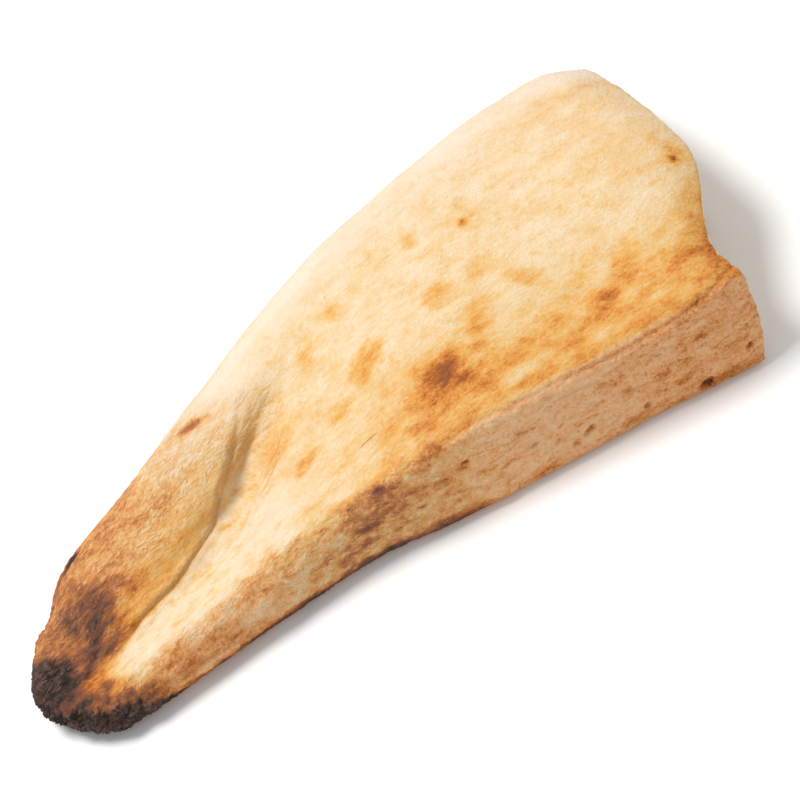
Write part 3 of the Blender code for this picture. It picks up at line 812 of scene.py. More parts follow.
@dataclass
class Relief:
    """What the solid is too coarse for, raised on the loaf or sunk into it."""

    loaf: Loaf
    zones: Zones
    roll_turn: float = -20.0  # of the roll's wrinkles from the loaf's length, in degrees
    valley_turn: float = 19.0  # of the wrinkles in the valley beside it
    hollow: np.ndarray = field(init=False)
    # How much darker creases, pits, pores and wrinkles are coloured: partly baked darker, partly painted
    # shade.
    stain_and_shade: np.ndarray = field(init=False)

    def __post_init__(self) -> None:
        """Start without hollows, stains or painted shade."""
        self.hollow = np.zeros(len(self.loaf.points))
        self.stain_and_shade = np.zeros(len(self.loaf.points))

    def build(self, char: np.ndarray) -> None:
        """Raise the relief.

        Args:
            char: How burnt each point is.
        """
        loaf = self.loaf
        skin = 1.0 - self.zones.crumb
        lift = self.dough() * skin + self.pebbles() + self.side_face() + self.crumb_face()
        lift += self.valley() + self.burnt_ridges(char) + self.blister()
        for crease in CREASES:
            lift += self.press(crease)
        above = smooth_step(0.0, 2.5 * MM, loaf.points[:, 2])
        teeth = self.teeth(char) * np.maximum(loaf.normals[:, 0], 0.0)
        loaf.move(loaf.normals * (lift * above)[:, None] + np.array((1.0, 0.0, 0.0)) * teeth[:, None])

    def dough(self) -> np.ndarray:
        """Soft swells and shallow folds that follow the dough's stretch, and low blisters.

        Returns:
            How far out each point moves.
        """
        flow, points = self.zones.flow, self.loaf.points
        lift = 0.18 * MM * wander(flow, (18.0, 3.6, 5.0), 3.0)
        lift += 0.10 * MM * wander(flow, (8.0, 2.2, 2.6), 9.0)
        lift += 0.32 * MM * np.maximum(wander(points, 6.5, 21.0), 0.0)
        return lift + 0.10 * MM * np.maximum(wander(points, 2.6, 33.0) - 0.12, 0.0)

    def pebbles(self) -> np.ndarray:
        """The pebbled, wrinkled skin of the roll and of the flap's outer rim.

        Returns:
            How far out each point moves.
        """
        points = self.loaf.points
        turned = self.turned(self.roll_turn)
        along = np.abs(wander(turned, (5.0, 1.6, 1.8), 13.0))
        roll = 0.46 * (0.4 - along) + 0.20 * wander(turned, (1.9, 1.1, 1.3), 17.0)
        across = np.abs(wander(points, (1.5, 3.6, 3.6), 19.0))
        rim = 0.34 * (0.4 - across) + 0.16 * wander(points, (1.1, 1.6, 1.6), 27.0)
        return MM * (roll * self.zones.roll * (1.0 - 0.8 * self.zones.flank) + rim * self.zones.rim)

    def turned(self, degrees: float) -> np.ndarray:
        """The points, turned about the upright so that noise read there runs at an angle."""
        x, y, z = self.loaf.points.T
        return np.stack((*turn_axes(x, y, math.radians(degrees)), z), axis=1)

    def valley(self) -> np.ndarray:
        """Fine wrinkles in the valley beside the roll, turned the way that the fold runs.

        Returns:
            How far out each point moves.
        """
        x, y, _ = self.loaf.points.T
        wrinkles = np.abs(wander(self.turned(self.valley_turn), (9.0, 1.5, 2.4), 29.0))
        beside = y - self.loaf.fold_line(x)
        share = smooth_step(-5.0 * MM, 0.0, beside) * smooth_step(17.0 * MM, 6.0 * MM, beside)
        share *= smooth_step(4.0 * MM, 16.0 * MM, x) * smooth_step(62.0 * MM, 40.0 * MM, x)
        # Darker in the bottoms of the wrinkles: partly baked darker, partly painted shade.
        self.stain_and_shade = np.maximum(self.stain_and_shade, 0.13 * share * smooth_step(0.10, 0.0, wrinkles))
        return 1.1 * MM * (np.minimum(wrinkles, 0.3) - 0.2) * share * (self.loaf.normals[:, 2] > 0.0)

    def side_face(self) -> np.ndarray:
        """The slanted side's sandy grit, long shallow wrinkles, pores and pits.

        Returns:
            How far out each point moves.
        """
        side, points = self.zones.side, self.loaf.points
        lift = 0.20 * MM * wander(points, (2.0, 1.6, 1.3), 41.0) * side
        lift += 0.16 * MM * wander(points, 1.15, 47.0) * side
        wrinkles = smooth_step(0.14, 0.0, np.abs(wander(points, (11.0, 6.0, 2.8), 43.0))) * side
        lift -= 0.30 * MM * wrinkles
        # The sunken wrinkles and the pores come out darker: partly baked darker, partly painted shade.
        uneven = smooth_step(-0.1, 0.4, wander(points, (16.0, 8.0, 6.0), 49.0))
        self.stain_and_shade = np.maximum(self.stain_and_shade, 0.12 * wrinkles * uneven)
        pores, depth = self.strew(SIDE_PORES, side > 0.9, 1)
        self.stain_and_shade = np.maximum(self.stain_and_shade, 0.18 * pores * side)
        lift -= depth * side
        for pit in SIDE_PITS:
            lift += self.sink(pit)
        return lift

    def sink(self, pit: Pit) -> np.ndarray:
        """Sink a pit into the slanted side, with a low pale lip around it, and note how much darker its
        inside is coloured, partly baked darker and partly painted shade.

        Args:
            pit: The pit to sink.

        Returns:
            How far out each point moves.
        """
        offset = self.loaf.points - np.array(pit.place) * MM
        along, upward = turn_axes(offset[:, 0], offset[:, 2], -pit.tilt)
        reach = np.hypot(along / (pit.length * MM), upward / (pit.height * MM))
        reach = reach + 4.0 * np.abs(offset[:, 1] / (9.0 * MM))
        share = smooth_step(1.35, 0.5, reach)
        lip = np.exp(-((reach - 1.5) / 0.35) ** 2)
        on_lip = lip * self.zones.side > 0.3
        self.stain_and_shade = np.maximum(self.stain_and_shade, 0.30 * share)
        self.stain_and_shade = np.where(on_lip, np.minimum(self.stain_and_shade, -0.06 * lip + 0.02), self.stain_and_shade)
        return (0.22 * lip * self.zones.side - pit.depth * share) * MM

    def crumb_face(self) -> np.ndarray:
        """The open crumb at the cut: holes of many sizes, and a torn grain between them.

        Returns:
            How far out each point moves.
        """
        crumb, points = self.zones.crumb, self.loaf.points
        holes, depth = self.strew(CRUMB_PORES, crumb > 0.5, 0)
        self.hollow = np.maximum(self.hollow, holes * crumb)
        return (0.20 * MM * wander(points, 1.3, 55.0) - depth) * crumb

    def burnt_ridges(self, char: np.ndarray) -> np.ndarray:
        """Rough ridges that run along the burnt tip, fading out into the brown crust.

        Args:
            char: How burnt each point is.

        Returns:
            How far out each point moves.
        """
        points = self.loaf.points
        rocky = np.maximum(char, 0.45 * smooth_step(90.0 * MM, 108.0 * MM, points[:, 0]))
        rocky *= 1.0 - 0.8 * self.loaf.blister(np.zeros(len(points)))
        lift = (self.ridges() - 0.55) * 0.75 * MM + 0.22 * MM * wander(points, 1.2, 63.0)
        return lift * rocky

    def ridges(self) -> np.ndarray:
        """Sharp-crested noise that runs down the tip's face, from about -1 to 1."""
        return 1.0 - 2.4 * np.abs(wander(self.loaf.leaning(), (1.5, 1.5, 7.0), 61.0))

    def teeth(self, char: np.ndarray) -> np.ndarray:
        """How far the burnt ridges stick out past the tip's edge."""
        rightward = smooth_step(-8.0 * MM, 6.0 * MM, self.loaf.points[:, 1])
        return char * np.clip(self.ridges() - 0.2, -0.6, 0.8) * (0.4 + 0.8 * rightward) * MM

    def blister(self) -> np.ndarray:
        """The burst blister on the tip, raised."""
        share = self.loaf.blister(wander(self.loaf.points, 2.4, 65.0))
        return 0.6 * MM * share * smooth_step(0.3, 0.8, self.loaf.normals[:, 2])

    def press(self, crease: Crease) -> np.ndarray:
        """Press a crease into the crust and note how much darker it is coloured there, partly baked darker
        and partly painted shade in the groove.

        Args:
            crease: The line to press.

        Returns:
            How far out each point moves.
        """
        points = self.loaf.points
        lift = np.zeros(len(points))
        reach = (crease.width * 3.0 + 4.5) * MM
        near, offset, past, start_run, end_run = self.loaf.follow(crease.route, reach)
        offset = offset + 0.16 * MM * wander(points[near], 4.0, 83.0)
        ends = np.minimum(start_run / (crease.fade[0] * MM), end_run / (crease.fade[1] * MM))
        ends = np.minimum(ends, 1.0) * np.exp(-(past / MM) ** 2)
        lift[near] -= crease.depth * MM * np.exp(-(offset / (crease.width * MM)) ** 2) * ends
        if crease.bank:
            beside = offset * crease.bank_side / MM - crease.width - 1.2
            lift[near] += crease.bank * MM * np.exp(-(beside / 1.1) ** 2) * ends
        stain_and_shade = crease.stain_and_shade * ends * np.exp(-(offset / (crease.width * 1.15 * MM)) ** 2)
        self.stain_and_shade[near] = np.maximum(self.stain_and_shade[near], stain_and_shade)
        return lift

    def strew(self, rule: PoreRule, inside: np.ndarray, axis: int) -> tuple[np.ndarray, np.ndarray]:
        """Strew pores over a face.

        Args:
            rule: The pores' number and sizes.
            inside: Which points belong to the face.
            axis: The axis that the face looks along, which is left out of the distances.

        Returns:
            How far inside a pore each point lies, from 0 to 1, and how deep it is there.
        """
        chance = random.Random(rule.seed)
        points = self.loaf.points[inside]
        flat = np.delete(points, axis, axis=1)
        fray = wander(points, 2.2, 51.0) + 0.5 * wander(points, 1.1, 53.0)
        share, depth = np.zeros(len(flat)), np.zeros(len(flat))
        low, high = rule.half_length
        for _ in range(rule.count):
            centre = flat[chance.randrange(len(flat))]
            length = (low + (high - low) * chance.random() ** rule.favour_small) * MM
            height = length * chance.uniform(*rule.flatness)
            tilt = chance.uniform(-rule.tilt, rule.tilt)
            drop = chance.uniform(*rule.depth) * MM * min(1.0, height / (0.9 * MM))
            along, across = turn_axes(*(flat - centre).T, tilt)
            across = across + 0.25 * height * np.sin(along / length * 2.2)
            pore = smooth_step(1.20, 0.0, np.hypot(along / length, across / height) + 0.34 * fray)
            share = np.maximum(share, pore)
            depth = np.maximum(depth, pore * drop)
        whole = np.zeros((2, len(self.loaf.points)))
        whole[:, inside] = share, depth
        return whole[0], whole[1]


# ---------------------------------------------------------------- baking

@dataclass
class Bake:
    """How far the loaf is baked, floured and burnt, and where shade is painted on it, as masks for its
    material.

    Broad, patch and fleck are noise in three sizes that follows the dough's stretch, and all the
    baking varies with them.
    """

    loaf: Loaf
    zones: Zones
    char_fade: float = 4.2 * MM  # how far the burn fades out above its height
    hairline_reach: float = 2.4  # how far to each side a hairline is known, in millimetres
    broad: np.ndarray = field(init=False)
    patch: np.ndarray = field(init=False)
    fleck: np.ndarray = field(init=False)

    def __post_init__(self) -> None:
        """Read the noise that the baking varies with."""
        self.broad = wander(self.zones.flow, (15.0, 10.0, 12.0), 5.0)
        self.patch = wander(self.zones.flow, (7.0, 3.8, 5.0), 15.0)
        self.fleck = wander(self.zones.flow, (3.2, 1.9, 2.2), 25.0)

    def char(self) -> np.ndarray:
        """Which points are burnt black: the foot of the tip, its end and its blister.

        Returns:
            How burnt each point is, from 0 to 1.
        """
        x, _, z = self.loaf.points.T
        fray = wander(self.loaf.leaning(), (1.6, 1.8, 5.0), 71.0)
        char = smooth_step(0.0, self.char_fade, self.burn_height() - z + 2.6 * MM * fray)
        char = np.maximum(char, 0.88 * self.loaf.blister(wander(self.loaf.points, 2.4, 65.0)))
        char = np.maximum(char, SMOKE.heat(self.loaf.points, 0.4 * fray))
        beneath = smooth_step(98.0 * MM, 106.0 * MM, x + 5.0 * MM * fray)
        return np.where(self.loaf.normals[:, 2] < -0.6, beneath, char)

    def burn_height(self) -> np.ndarray:
        """How high the burn reaches up the tip's faces.

        Returns:
            A height in metres for each point's place.
        """
        x, y, _ = self.loaf.points.T
        right = smooth_step(-3.0 * MM, 4.0 * MM, y)
        foot = 1.1 * MM * smooth_step(7.0 * MM, 12.0 * MM, y) * smooth_step(92.0 * MM, 100.0 * MM, x)
        return read_line(CHAR_RIGHT, x) * right + read_line(CHAR_LEFT, x) * (1.0 - right) + foot

    def masks(self, char: np.ndarray, relief: Relief) -> dict[Mask, np.ndarray]:
        """Work out all the masks.

        Args:
            char: How burnt each point is.
            relief: The relief, which holds the crumb's hollows and the stains and painted shade of its
                creases, pits and pores.

        Returns:
            One value for each point and mask.
        """
        offset, strength = self.hairlines()
        return {
            Mask.TOAST_AND_SHADE: np.clip(self.toast_and_shade(relief.stain_and_shade), 0.0, 1.0),
            Mask.SIDE: np.maximum(self.zones.side, self.dusty_rim()),
            Mask.CRUMB: self.zones.crumb,
            Mask.CHAR: char,
            Mask.FLOUR: self.flour(),
            Mask.FOLD_SHADE: self.fold_shade(),
            Mask.HOLLOW: relief.hollow,
            Mask.PEBBLED: np.maximum(self.zones.roll * (1.0 - self.zones.flank), self.zones.rim),
            Mask.LINE_OFFSET: offset,
            Mask.LINE: strength,
        }

    def dusty_rim(self) -> np.ndarray:
        """Where the flap's rim is as sandy as the slanted side: near that side and before the tip.

        Returns:
            A share from 0 to 1 for each point.
        """
        x = self.loaf.points[:, 0]
        before_tip = smooth_step(36.0 * MM, 56.0 * MM, x) * smooth_step(100.0 * MM, 84.0 * MM, x)
        return 0.7 * self.zones.rim * np.maximum(before_tip, smooth_step(8.0 * MM, -10.0 * MM, x))

    def toast_and_shade(self, stain_and_shade: np.ndarray) -> np.ndarray:
        """How far each point is toasted, with painted shade added in its hollows.

        Args:
            stain_and_shade: How much darker the creases, pits and pores are coloured: partly baked darker,
                partly painted shade.

        Returns:
            One level for each point, near 0 where it is floury and near 1 where it is burnt.
        """
        zones = self.zones
        toast_and_shade = self.top_level()
        toast_and_shade += (self.roll_level() - toast_and_shade) * zones.roll
        toast_and_shade += (self.rim_level() - toast_and_shade) * zones.rim
        toast_and_shade += (self.side_level() - toast_and_shade) * zones.side
        toast_and_shade += self.foot_heat() + self.tip_heat() + self.scorches() + stain_and_shade
        return toast_and_shade * (1.0 - zones.under) + self.underside_level() * zones.under

    def top_level(self) -> np.ndarray:
        """How far the top is baked: more at the cut's right and left corners, less on the flap.

        Returns:
            One toast level for each point.
        """
        x, y, _ = self.loaf.points.T
        top = 0.168 + 0.04 * self.broad + 0.075 * self.patch + 0.03 * self.fleck + self.right_third()
        top += 0.13 * smooth_step(11.0 * MM, 1.0 * MM, self.behind_cut()) * smooth_step(0.0, 26.0 * MM, y)
        top -= (0.06 - 0.16 * np.maximum(self.fleck, 0.0)) * smooth_step(20.0 * MM, 50.0 * MM, x)
        return top + 0.05 * smooth_step(-84.0 * MM, -104.0 * MM, x) * smooth_step(16.0 * MM, -6.0 * MM, y)

    def right_third(self) -> np.ndarray:
        """How much more golden the top bakes towards the crease along its right side.

        Returns:
            One toast level for each point.
        """
        x, y, _ = self.loaf.points.T
        route = np.array(SIDE_CREASE.route) * MM
        inward = np.interp(x, route[:, 0], route[:, 1]) - y
        gold = smooth_step(34.0 * MM, 5.0 * MM, inward + 6.0 * MM * self.patch)
        return gold * smooth_step(26.0 * MM, -10.0 * MM, x) * (0.19 + 0.14 * self.patch)

    def roll_level(self) -> np.ndarray:
        """How far the roll is baked: more towards the tip and the left, less on its smooth flank.

        Returns:
            One toast level for each point.
        """
        x = self.loaf.points[:, 0]
        tipward = smooth_step(34.0 * MM, 92.0 * MM, x)
        roll = 0.26 + 0.19 * tipward + 0.10 * self.patch + 0.08 * self.fleck
        roll += 0.08 * smooth_step(80.0 * MM, 92.0 * MM, x)
        roll += 0.10 * smooth_step(0.1, 0.8, self.zones.leftward) * smooth_step(40.0 * MM, 76.0 * MM, x)
        return roll + (0.27 + 0.10 * tipward - roll) * 0.8 * self.zones.flank

    def rim_level(self) -> np.ndarray:
        """How far the flap's rim is baked, in streaks.

        Returns:
            One toast level for each point.
        """
        points = self.loaf.points
        rim = 0.36 - 0.06 * smooth_step(48.0 * MM, 78.0 * MM, points[:, 0])
        rim += 0.08 * self.broad + 0.19 * self.patch + 0.06 * self.fleck
        return rim + 0.16 * wander(points, (4.6, 1.5, 1.6), 37.0)

    def side_level(self) -> np.ndarray:
        """How far the slanted side is baked, more towards the cut."""
        cutward = smooth_step(-30.0 * MM, -90.0 * MM, self.loaf.points[:, 0])
        return 0.18 + 0.09 * self.patch + 0.06 * self.fleck + 0.15 * cutward

    def underside_level(self) -> np.ndarray:
        """How far the flat underside is baked, more towards the tip.

        Returns:
            One toast level for each point.
        """
        tipward = smooth_step(84.0 * MM, 100.0 * MM, self.loaf.points[:, 0] + 4.0 * MM * self.fleck)
        level = 0.30 + 0.16 * self.broad + 0.20 * np.maximum(self.patch, 0.0) + 0.05 * self.fleck
        return level + 0.4 * tipward

    def foot_heat(self) -> np.ndarray:
        """How much darker the loaf is baked close to what it lay on, above all on its right.

        Returns:
            One toast level for each point.
        """
        x, _, z = self.loaf.points.T
        foot = smooth_step(7.0 * MM, 2.4 * MM, z + 1.6 * MM * self.fleck)
        rightward = smooth_step(-0.2, 0.5, -self.zones.leftward)
        return foot * (0.08 + rightward * (0.06 + 0.40 * smooth_step(-30.0 * MM, 20.0 * MM, x)))

    def tip_heat(self) -> np.ndarray:
        """How much darker the tip is baked: above its burn, along its middle and at its end.

        Returns:
            One toast level for each point.
        """
        x, y, z = self.loaf.points.T
        spread = smooth_step(5.5 * MM, 0.0, z - self.burn_height() + 1.6 * MM * self.fleck)
        heat = 0.34 * spread * smooth_step(80.0 * MM, 92.0 * MM, x) * (1.0 - self.zones.under)
        middle = smooth_step(5.0 * MM, -1.0 * MM, y) * smooth_step(-15.0 * MM, -7.0 * MM, y)
        heat += 0.20 * smooth_step(94.0 * MM, 104.0 * MM, x) * middle
        end = x + 0.6 * np.minimum(y, 0.0)
        return heat + 0.34 * smooth_step(102.0 * MM, 109.0 * MM, end) * smooth_step(14.0 * MM, 8.0 * MM, y)

    def scorches(self) -> np.ndarray:
        """How much the toasted places add, those of the top and the roll not on the slanted side.

        Returns:
            One toast level for each point.
        """
        points = self.loaf.points
        warp = 0.36 * wander(self.zones.flow, (4.0, 2.0, 2.4), 35.0) + 0.12 * wander(points, 1.6, 45.0)
        upper = sum(scorch.heat(points, warp) for scorch in TOP_SCORCHES + ROLL_SCORCHES)
        lower = sum(scorch.heat(points, warp) for scorch in SIDE_SCORCHES)
        return upper * (1.0 - self.zones.side) + lower

    def flour(self) -> np.ndarray:
        """Which points keep a bloom of flour: the rounded left side and the cut's left corner.

        Returns:
            A share from 0 to 1 for each point.
        """
        x, y, _ = self.loaf.points.T
        leftward = self.zones.leftward
        left = smooth_step(0.02, 0.36, leftward) * (1.0 - 0.35 * smooth_step(0.4, 0.9, leftward))
        edge = 0.7 * smooth_step(24.0 * MM, 15.0 * MM, y - read_line(LEFT_EDGE, x))
        left = np.maximum(left, edge) * smooth_step(66.0 * MM, 20.0 * MM, x) * (y < 20.0 * MM)
        corner = smooth_step(34.0 * MM, 8.0 * MM, np.hypot(x + 112.0 * MM, (y + 30.0 * MM) * 0.8)) * 0.25
        cloud = 0.85 + 0.4 * wander(self.loaf.points, (16.0, 9.0, 7.0), 77.0)
        return np.clip(np.maximum(left, corner) * cloud * (1.0 - self.zones.crumb), 0.0, 1.0)

    def fold_shade(self) -> np.ndarray:
        """Where shade is painted, in and beside the fold.

        Returns:
            A share from 0 to 0.9 for each point.
        """
        warp = 0.3 * wander(self.loaf.points, (5.0, 2.4, 2.4), 81.0)
        share = sum(place.heat(self.loaf.points, warp) for place in FOLD_SHADE_PLACES)
        return np.minimum(share, 0.9)

    def behind_cut(self) -> np.ndarray:
        """How far each point lies behind the rim of the cut, along the loaf.

        Returns:
            A length in metres for each point.
        """
        x, y, _ = self.loaf.points.T
        cut_x, cut_y, _ = self.loaf.points[self.zones.crumb > 0.5].T
        across, edge = strip_ends(cut_y, cut_x, 40, np.min)
        return x - np.interp(y, across, edge)

    def hairlines(self) -> tuple[np.ndarray, np.ndarray]:
        """Where the hairlines run.

        Returns:
            How far each point lies across the nearest hairline, in millimetres, and how strong
            the line is there.
        """
        reach = self.hairline_reach
        offset = np.full(len(self.loaf.points), reach)
        strength = np.zeros(len(self.loaf.points))
        for line in HAIRLINES:
            near, across, past, start_run, end_run = self.loaf.follow(line.route, reach * MM)
            ends = np.minimum(1.0, np.minimum(start_run, end_run) / (line.fade * MM))
            level = line.strength * ends * np.exp(-(past / MM) ** 2)
            level *= smooth_step(reach * MM, 0.6 * reach * MM, np.abs(across))
            stronger = level > strength[near]
            offset[near[stronger]] = across[stronger] / MM
            strength[near[stronger]] = level[stronger]
        return offset, strength


def store(piece: bpy.types.Object, masks: dict[Mask, np.ndarray], flow: np.ndarray) -> None:
    """Write the masks and the flow coordinate to a mesh for its material to read.

    Args:
        piece: The object whose mesh takes them.
        masks: One value for each point and mask.
        flow: The coordinate that follows the dough's stretch.
    """
    mesh = piece.data
    for mask, values in masks.items():
        layer = mesh.attributes.new(mask.value, "FLOAT", "POINT")
        layer.data.foreach_set("value", values.astype(np.float32))
    layer = mesh.attributes.new("flow", "FLOAT_VECTOR", "POINT")
    layer.data.foreach_set("vector", flow.astype(np.float32).ravel())


# ---------------------------------------------------------------- finishes

@dataclass(frozen=True)
class Ramp:
    """Colours from least to most baked, each with its place from 0 to 1."""

    stops: tuple[tuple[float, Colour], ...]


@dataclass(frozen=True)
class CrustFinish:
    """The baked skin: its colours, and the sizes of its texture as repeats in a metre."""

    bake: Ramp = Ramp((
        (0.00, (0.86, 0.74, 0.57)), (0.12, (0.84, 0.655, 0.43)), (0.22, (0.81, 0.55, 0.265)),
        (0.32, (0.79, 0.440, 0.136)), (0.42, (0.75, 0.335, 0.076)), (0.52, (0.64, 0.228, 0.048)),
        (0.64, (0.42, 0.122, 0.026)), (0.76, (0.25, 0.084, 0.038)), (0.88, (0.13, 0.060, 0.045)),
        (1.00, (0.050, 0.032, 0.027)),
    ))
    bloom: Colour = (0.86, 0.725, 0.60)
    # The painted shade of the fold: a darker tan.
    fold_shade: Colour = (0.54, 0.285, 0.098)
    # Pale specks on the pebbles' crests: partly flour, partly painted highlight.
    speck_and_highlight: Colour = (0.87, 0.60, 0.385)
    # The dark of the hairlines: painted shade inside them.
    crack_shade: Colour = (0.34, 0.17, 0.070)
    fibre_stretch: Point = (480.0, 1500.0, 1250.0)
    pebble_stretch: Point = (560.0, 880.0, 880.0)
    grain_scale: float = 1150.0
    freckle_scale: float = 300.0
    roughness: tuple[float, float] = (0.70, 0.86)  # between its grains and on them
    specular: float = 0.12


@dataclass(frozen=True)
class SideFinish:
    """The sandy slanted side: duller and pinker than the top."""

    bake: Ramp = Ramp((
        (0.00, (0.99, 0.66, 0.37)), (0.16, (0.99, 0.590, 0.305)), (0.30, (0.98, 0.490, 0.215)),
        (0.44, (0.84, 0.340, 0.108)), (0.60, (0.60, 0.190, 0.036)), (0.80, (0.27, 0.080, 0.020)),
        (1.00, (0.06, 0.028, 0.020)),
    ))


@dataclass(frozen=True)
class CrumbFinish:
    """The open crumb at the cut: pale cream, darker in places, with painted shade deeper in its holes."""

    pale: Colour = (0.98, 0.79, 0.55)
    deep_and_shade: Colour = (0.90, 0.62, 0.35)


@dataclass(frozen=True)
class CharFinish:
    """The burnt tip: black with a brown cast, and a dull sheen on its ridges."""

    black: Colour = (0.022, 0.018, 0.016)
    brown: Colour = (0.175, 0.098, 0.078)
    roughness: float = 0.52


class Graph:
    """A node tree that is filled by short calls."""

    def __init__(self, tree: bpy.types.NodeTree) -> None:
        """Keep the tree that the nodes go into."""
        self.tree = tree

    def add(
        self, kind: str, inputs: dict[str | int, Feed] | None = None, **settings: object,
    ) -> bpy.types.Node:
        """Add a node.

        Args:
            kind: The node's type.
            inputs: A value or an output socket for each named or numbered input.
            settings: The node's own settings by name.

        Returns:
            The new node.
        """
        node = self.tree.nodes.new(kind)
        for name, value in settings.items():
            setattr(node, name, value)
        for name, value in (inputs or {}).items():
            self.feed(node.inputs[name], value)
        return node

    def feed(self, socket: Socket, value: Feed) -> None:
        """Link an output to an input, or set the input's own value.

        Args:
            socket: The input.
            value: The output to link, or the value to set.
        """
        if isinstance(value, Socket):
            self.tree.links.new(value, socket)
        elif isinstance(value, tuple) and socket.type == "RGBA":
            socket.default_value = (*value, 1.0)
        else:
            socket.default_value = value

    def math(self, operation: str, first: Feed, second: Feed = 0.0, clamp: bool = False) -> Socket:
        """Work out one value from two."""
        node = self.add("ShaderNodeMath", {0: first, 1: second}, operation=operation, use_clamp=clamp)
        return node.outputs[0]

    def mix(self, share: Feed, first: Feed, second: Feed) -> Socket:
        """Mix two colours.

        Args:
            share: How much of the second colour goes in, from 0 to 1.
            first: The first colour.
            second: The second colour.

        Returns:
            The mixed colour.
        """
        node = self.add("ShaderNodeMix", data_type="RGBA")
        for place, value in ((0, share), (6, first), (7, second)):
            self.feed(node.inputs[place], value)
        return node.outputs[2]

    def span(
        self, value: Feed, low: float, high: float, bottom: float = 0.0, top: float = 1.0,
    ) -> Socket:
        """Map a value from one span onto another, and clamp it there.

        Args:
            value: The value.
            low: Where the first span starts.
            high: Where it ends.
            bottom: What low becomes.
            top: What high becomes.

        Returns:
            The mapped value.
        """
        ends = {"From Min": low, "From Max": high, "To Min": bottom, "To Max": top}
        return self.add("ShaderNodeMapRange", {"Value": value, **ends}).outputs[0]

    def between(self, share: Feed, least: float, most: float) -> Socket:
        """Go from one value to another as a share goes from 0 to 1."""
        return self.span(share, 0.0, 1.0, least, most)

    def ramp(self, value: Feed, ramp: Ramp) -> Socket:
        """Read a ramp of colours.

        Args:
            value: How far baked the place is, from 0 to 1.
            ramp: The colours.

        Returns:
            The colour at that value.
        """
        node = self.add("ShaderNodeValToRGB", {"Fac": value})
        elements = node.color_ramp.elements
        while len(elements) < len(ramp.stops):
            elements.new(1.0)
        for element, (place, colour) in zip(elements, ramp.stops):
            element.position = place
            element.color = (*colour, 1.0)
        return node.outputs["Color"]

    def noise(
        self, place: Socket, scale: Feed, detail: float, roughness: float, distortion: float = 0.0,
    ) -> Socket:
        """Read fractal noise.

        Args:
            place: Where to read it.
            scale: How many lumps it has in each length.
            detail: How many finer layers it has.
            roughness: How strong these are.
            distortion: How far it swirls.

        Returns:
            A value of about 0.5 on average.
        """
        inputs = {"Vector": place, "Scale": scale, "Detail": detail, "Roughness": roughness}
        node = self.add("ShaderNodeTexNoise", {**inputs, "Distortion": distortion})
        return node.outputs["Fac"]

    def stretch(self, place: Socket, by: Socket) -> Socket:
        """Multiply a place by a scale for each axis."""
        return self.add("ShaderNodeVectorMath", {0: place, 1: by}, operation="MULTIPLY").outputs[0]

    def total(self, parts: list[tuple[Socket, Feed]]) -> Socket:
        """Add up the products of some pairs.

        Args:
            parts: The pairs, each of a value and its weight.

        Returns:
            The sum.
        """
        whole = None
        for value, weight in parts:
            part = self.math("MULTIPLY", value, weight)
            whole = part if whole is None else self.math("ADD", whole, part)
        return whole

    def attribute(self, name: str, output: str = "Fac") -> Socket:
        """Read a field that the mesh carries."""
        return self.add("ShaderNodeAttribute", attribute_name=name).outputs[output]

    def group(self, tree: bpy.types.NodeTree, **inputs: Feed) -> bpy.types.NodeOutputs:
        """Place a node group.

        Args:
            tree: The group's tree.
            inputs: A value or an output for each of its inputs, by name.

        Returns:
            Its outputs.
        """
        node = self.add("ShaderNodeGroup", node_tree=tree)
        for name, value in inputs.items():
            self.feed(node.inputs[name], value)
        return node.outputs


VALUE = "NodeSocketFloat"
VECTOR = "NodeSocketVector"
Sockets = dict[str, Socket]


def open_group(
    name: str, inputs: dict[str, str], outputs: dict[str, str],
) -> tuple[Graph, Sockets, Sockets]:
    """Start a shader node group.

    Args:
        name: The group's name.
        inputs: The socket type of each named input.
        outputs: The socket type of each named output.

    Returns:
        The group's graph, its inputs' sockets by name, and the end node's sockets by name.
    """
    tree = bpy.data.node_groups.new(name, "ShaderNodeTree")
    for label, kind in inputs.items():
        tree.interface.new_socket(label, in_out="INPUT", socket_type=kind)
    for label, kind in outputs.items():
        tree.interface.new_socket(label, in_out="OUTPUT", socket_type=kind)
    graph = Graph(tree)
    start = tree.nodes.new("NodeGroupInput")
    end = tree.nodes.new("NodeGroupOutput")
    return graph, {s.name: s for s in start.outputs}, {s.name: s for s in end.inputs}


def fibres_group() -> bpy.types.NodeTree:
    """Fine and bold lines along the dough's stretch, as masks from 0 to 1.

    Returns:
        The group's tree.
    """
    graph, source, target = open_group(
        "dough fibres", {"Flow": VECTOR, "Stretch": VECTOR}, {"Fine": VALUE, "Bold": VALUE},
    )
    scaled = graph.stretch(source["Flow"], source["Stretch"])
    graph.feed(target["Fine"], graph.span(graph.noise(scaled, 1.0, 3.0, 0.62, 0.35), 0.25, 0.75))
    graph.feed(target["Bold"], graph.span(graph.noise(scaled, 0.36, 3.0, 0.60, 0.6), 0.27, 0.73))
    return graph.tree


def pebbles_group() -> bpy.types.NodeTree:
    """Pebbled skin: its height, the pale specks on its crests, partly flour and partly painted highlight,
    and larger blotches.

    Returns:
        The group's tree, whose masks run from 0 to 1.
    """
    graph, source, target = open_group(
        "pebbled skin",
        {"Flow": VECTOR, "Stretch": VECTOR},
        {"Pebbles": VALUE, "Specks": VALUE, "Blotches": VALUE},
    )
    scaled = graph.stretch(source["Flow"], source["Stretch"])
    pebbles = graph.noise(scaled, 1.0, 3.0, 0.60, 0.8)
    graph.feed(target["Pebbles"], graph.span(pebbles, 0.25, 0.75))
    graph.feed(target["Specks"], graph.span(pebbles, 0.56, 0.72))
    graph.feed(target["Blotches"], graph.span(graph.noise(scaled, 0.30, 4.0, 0.66, 0.3), 0.28, 0.72))
    return graph.tree


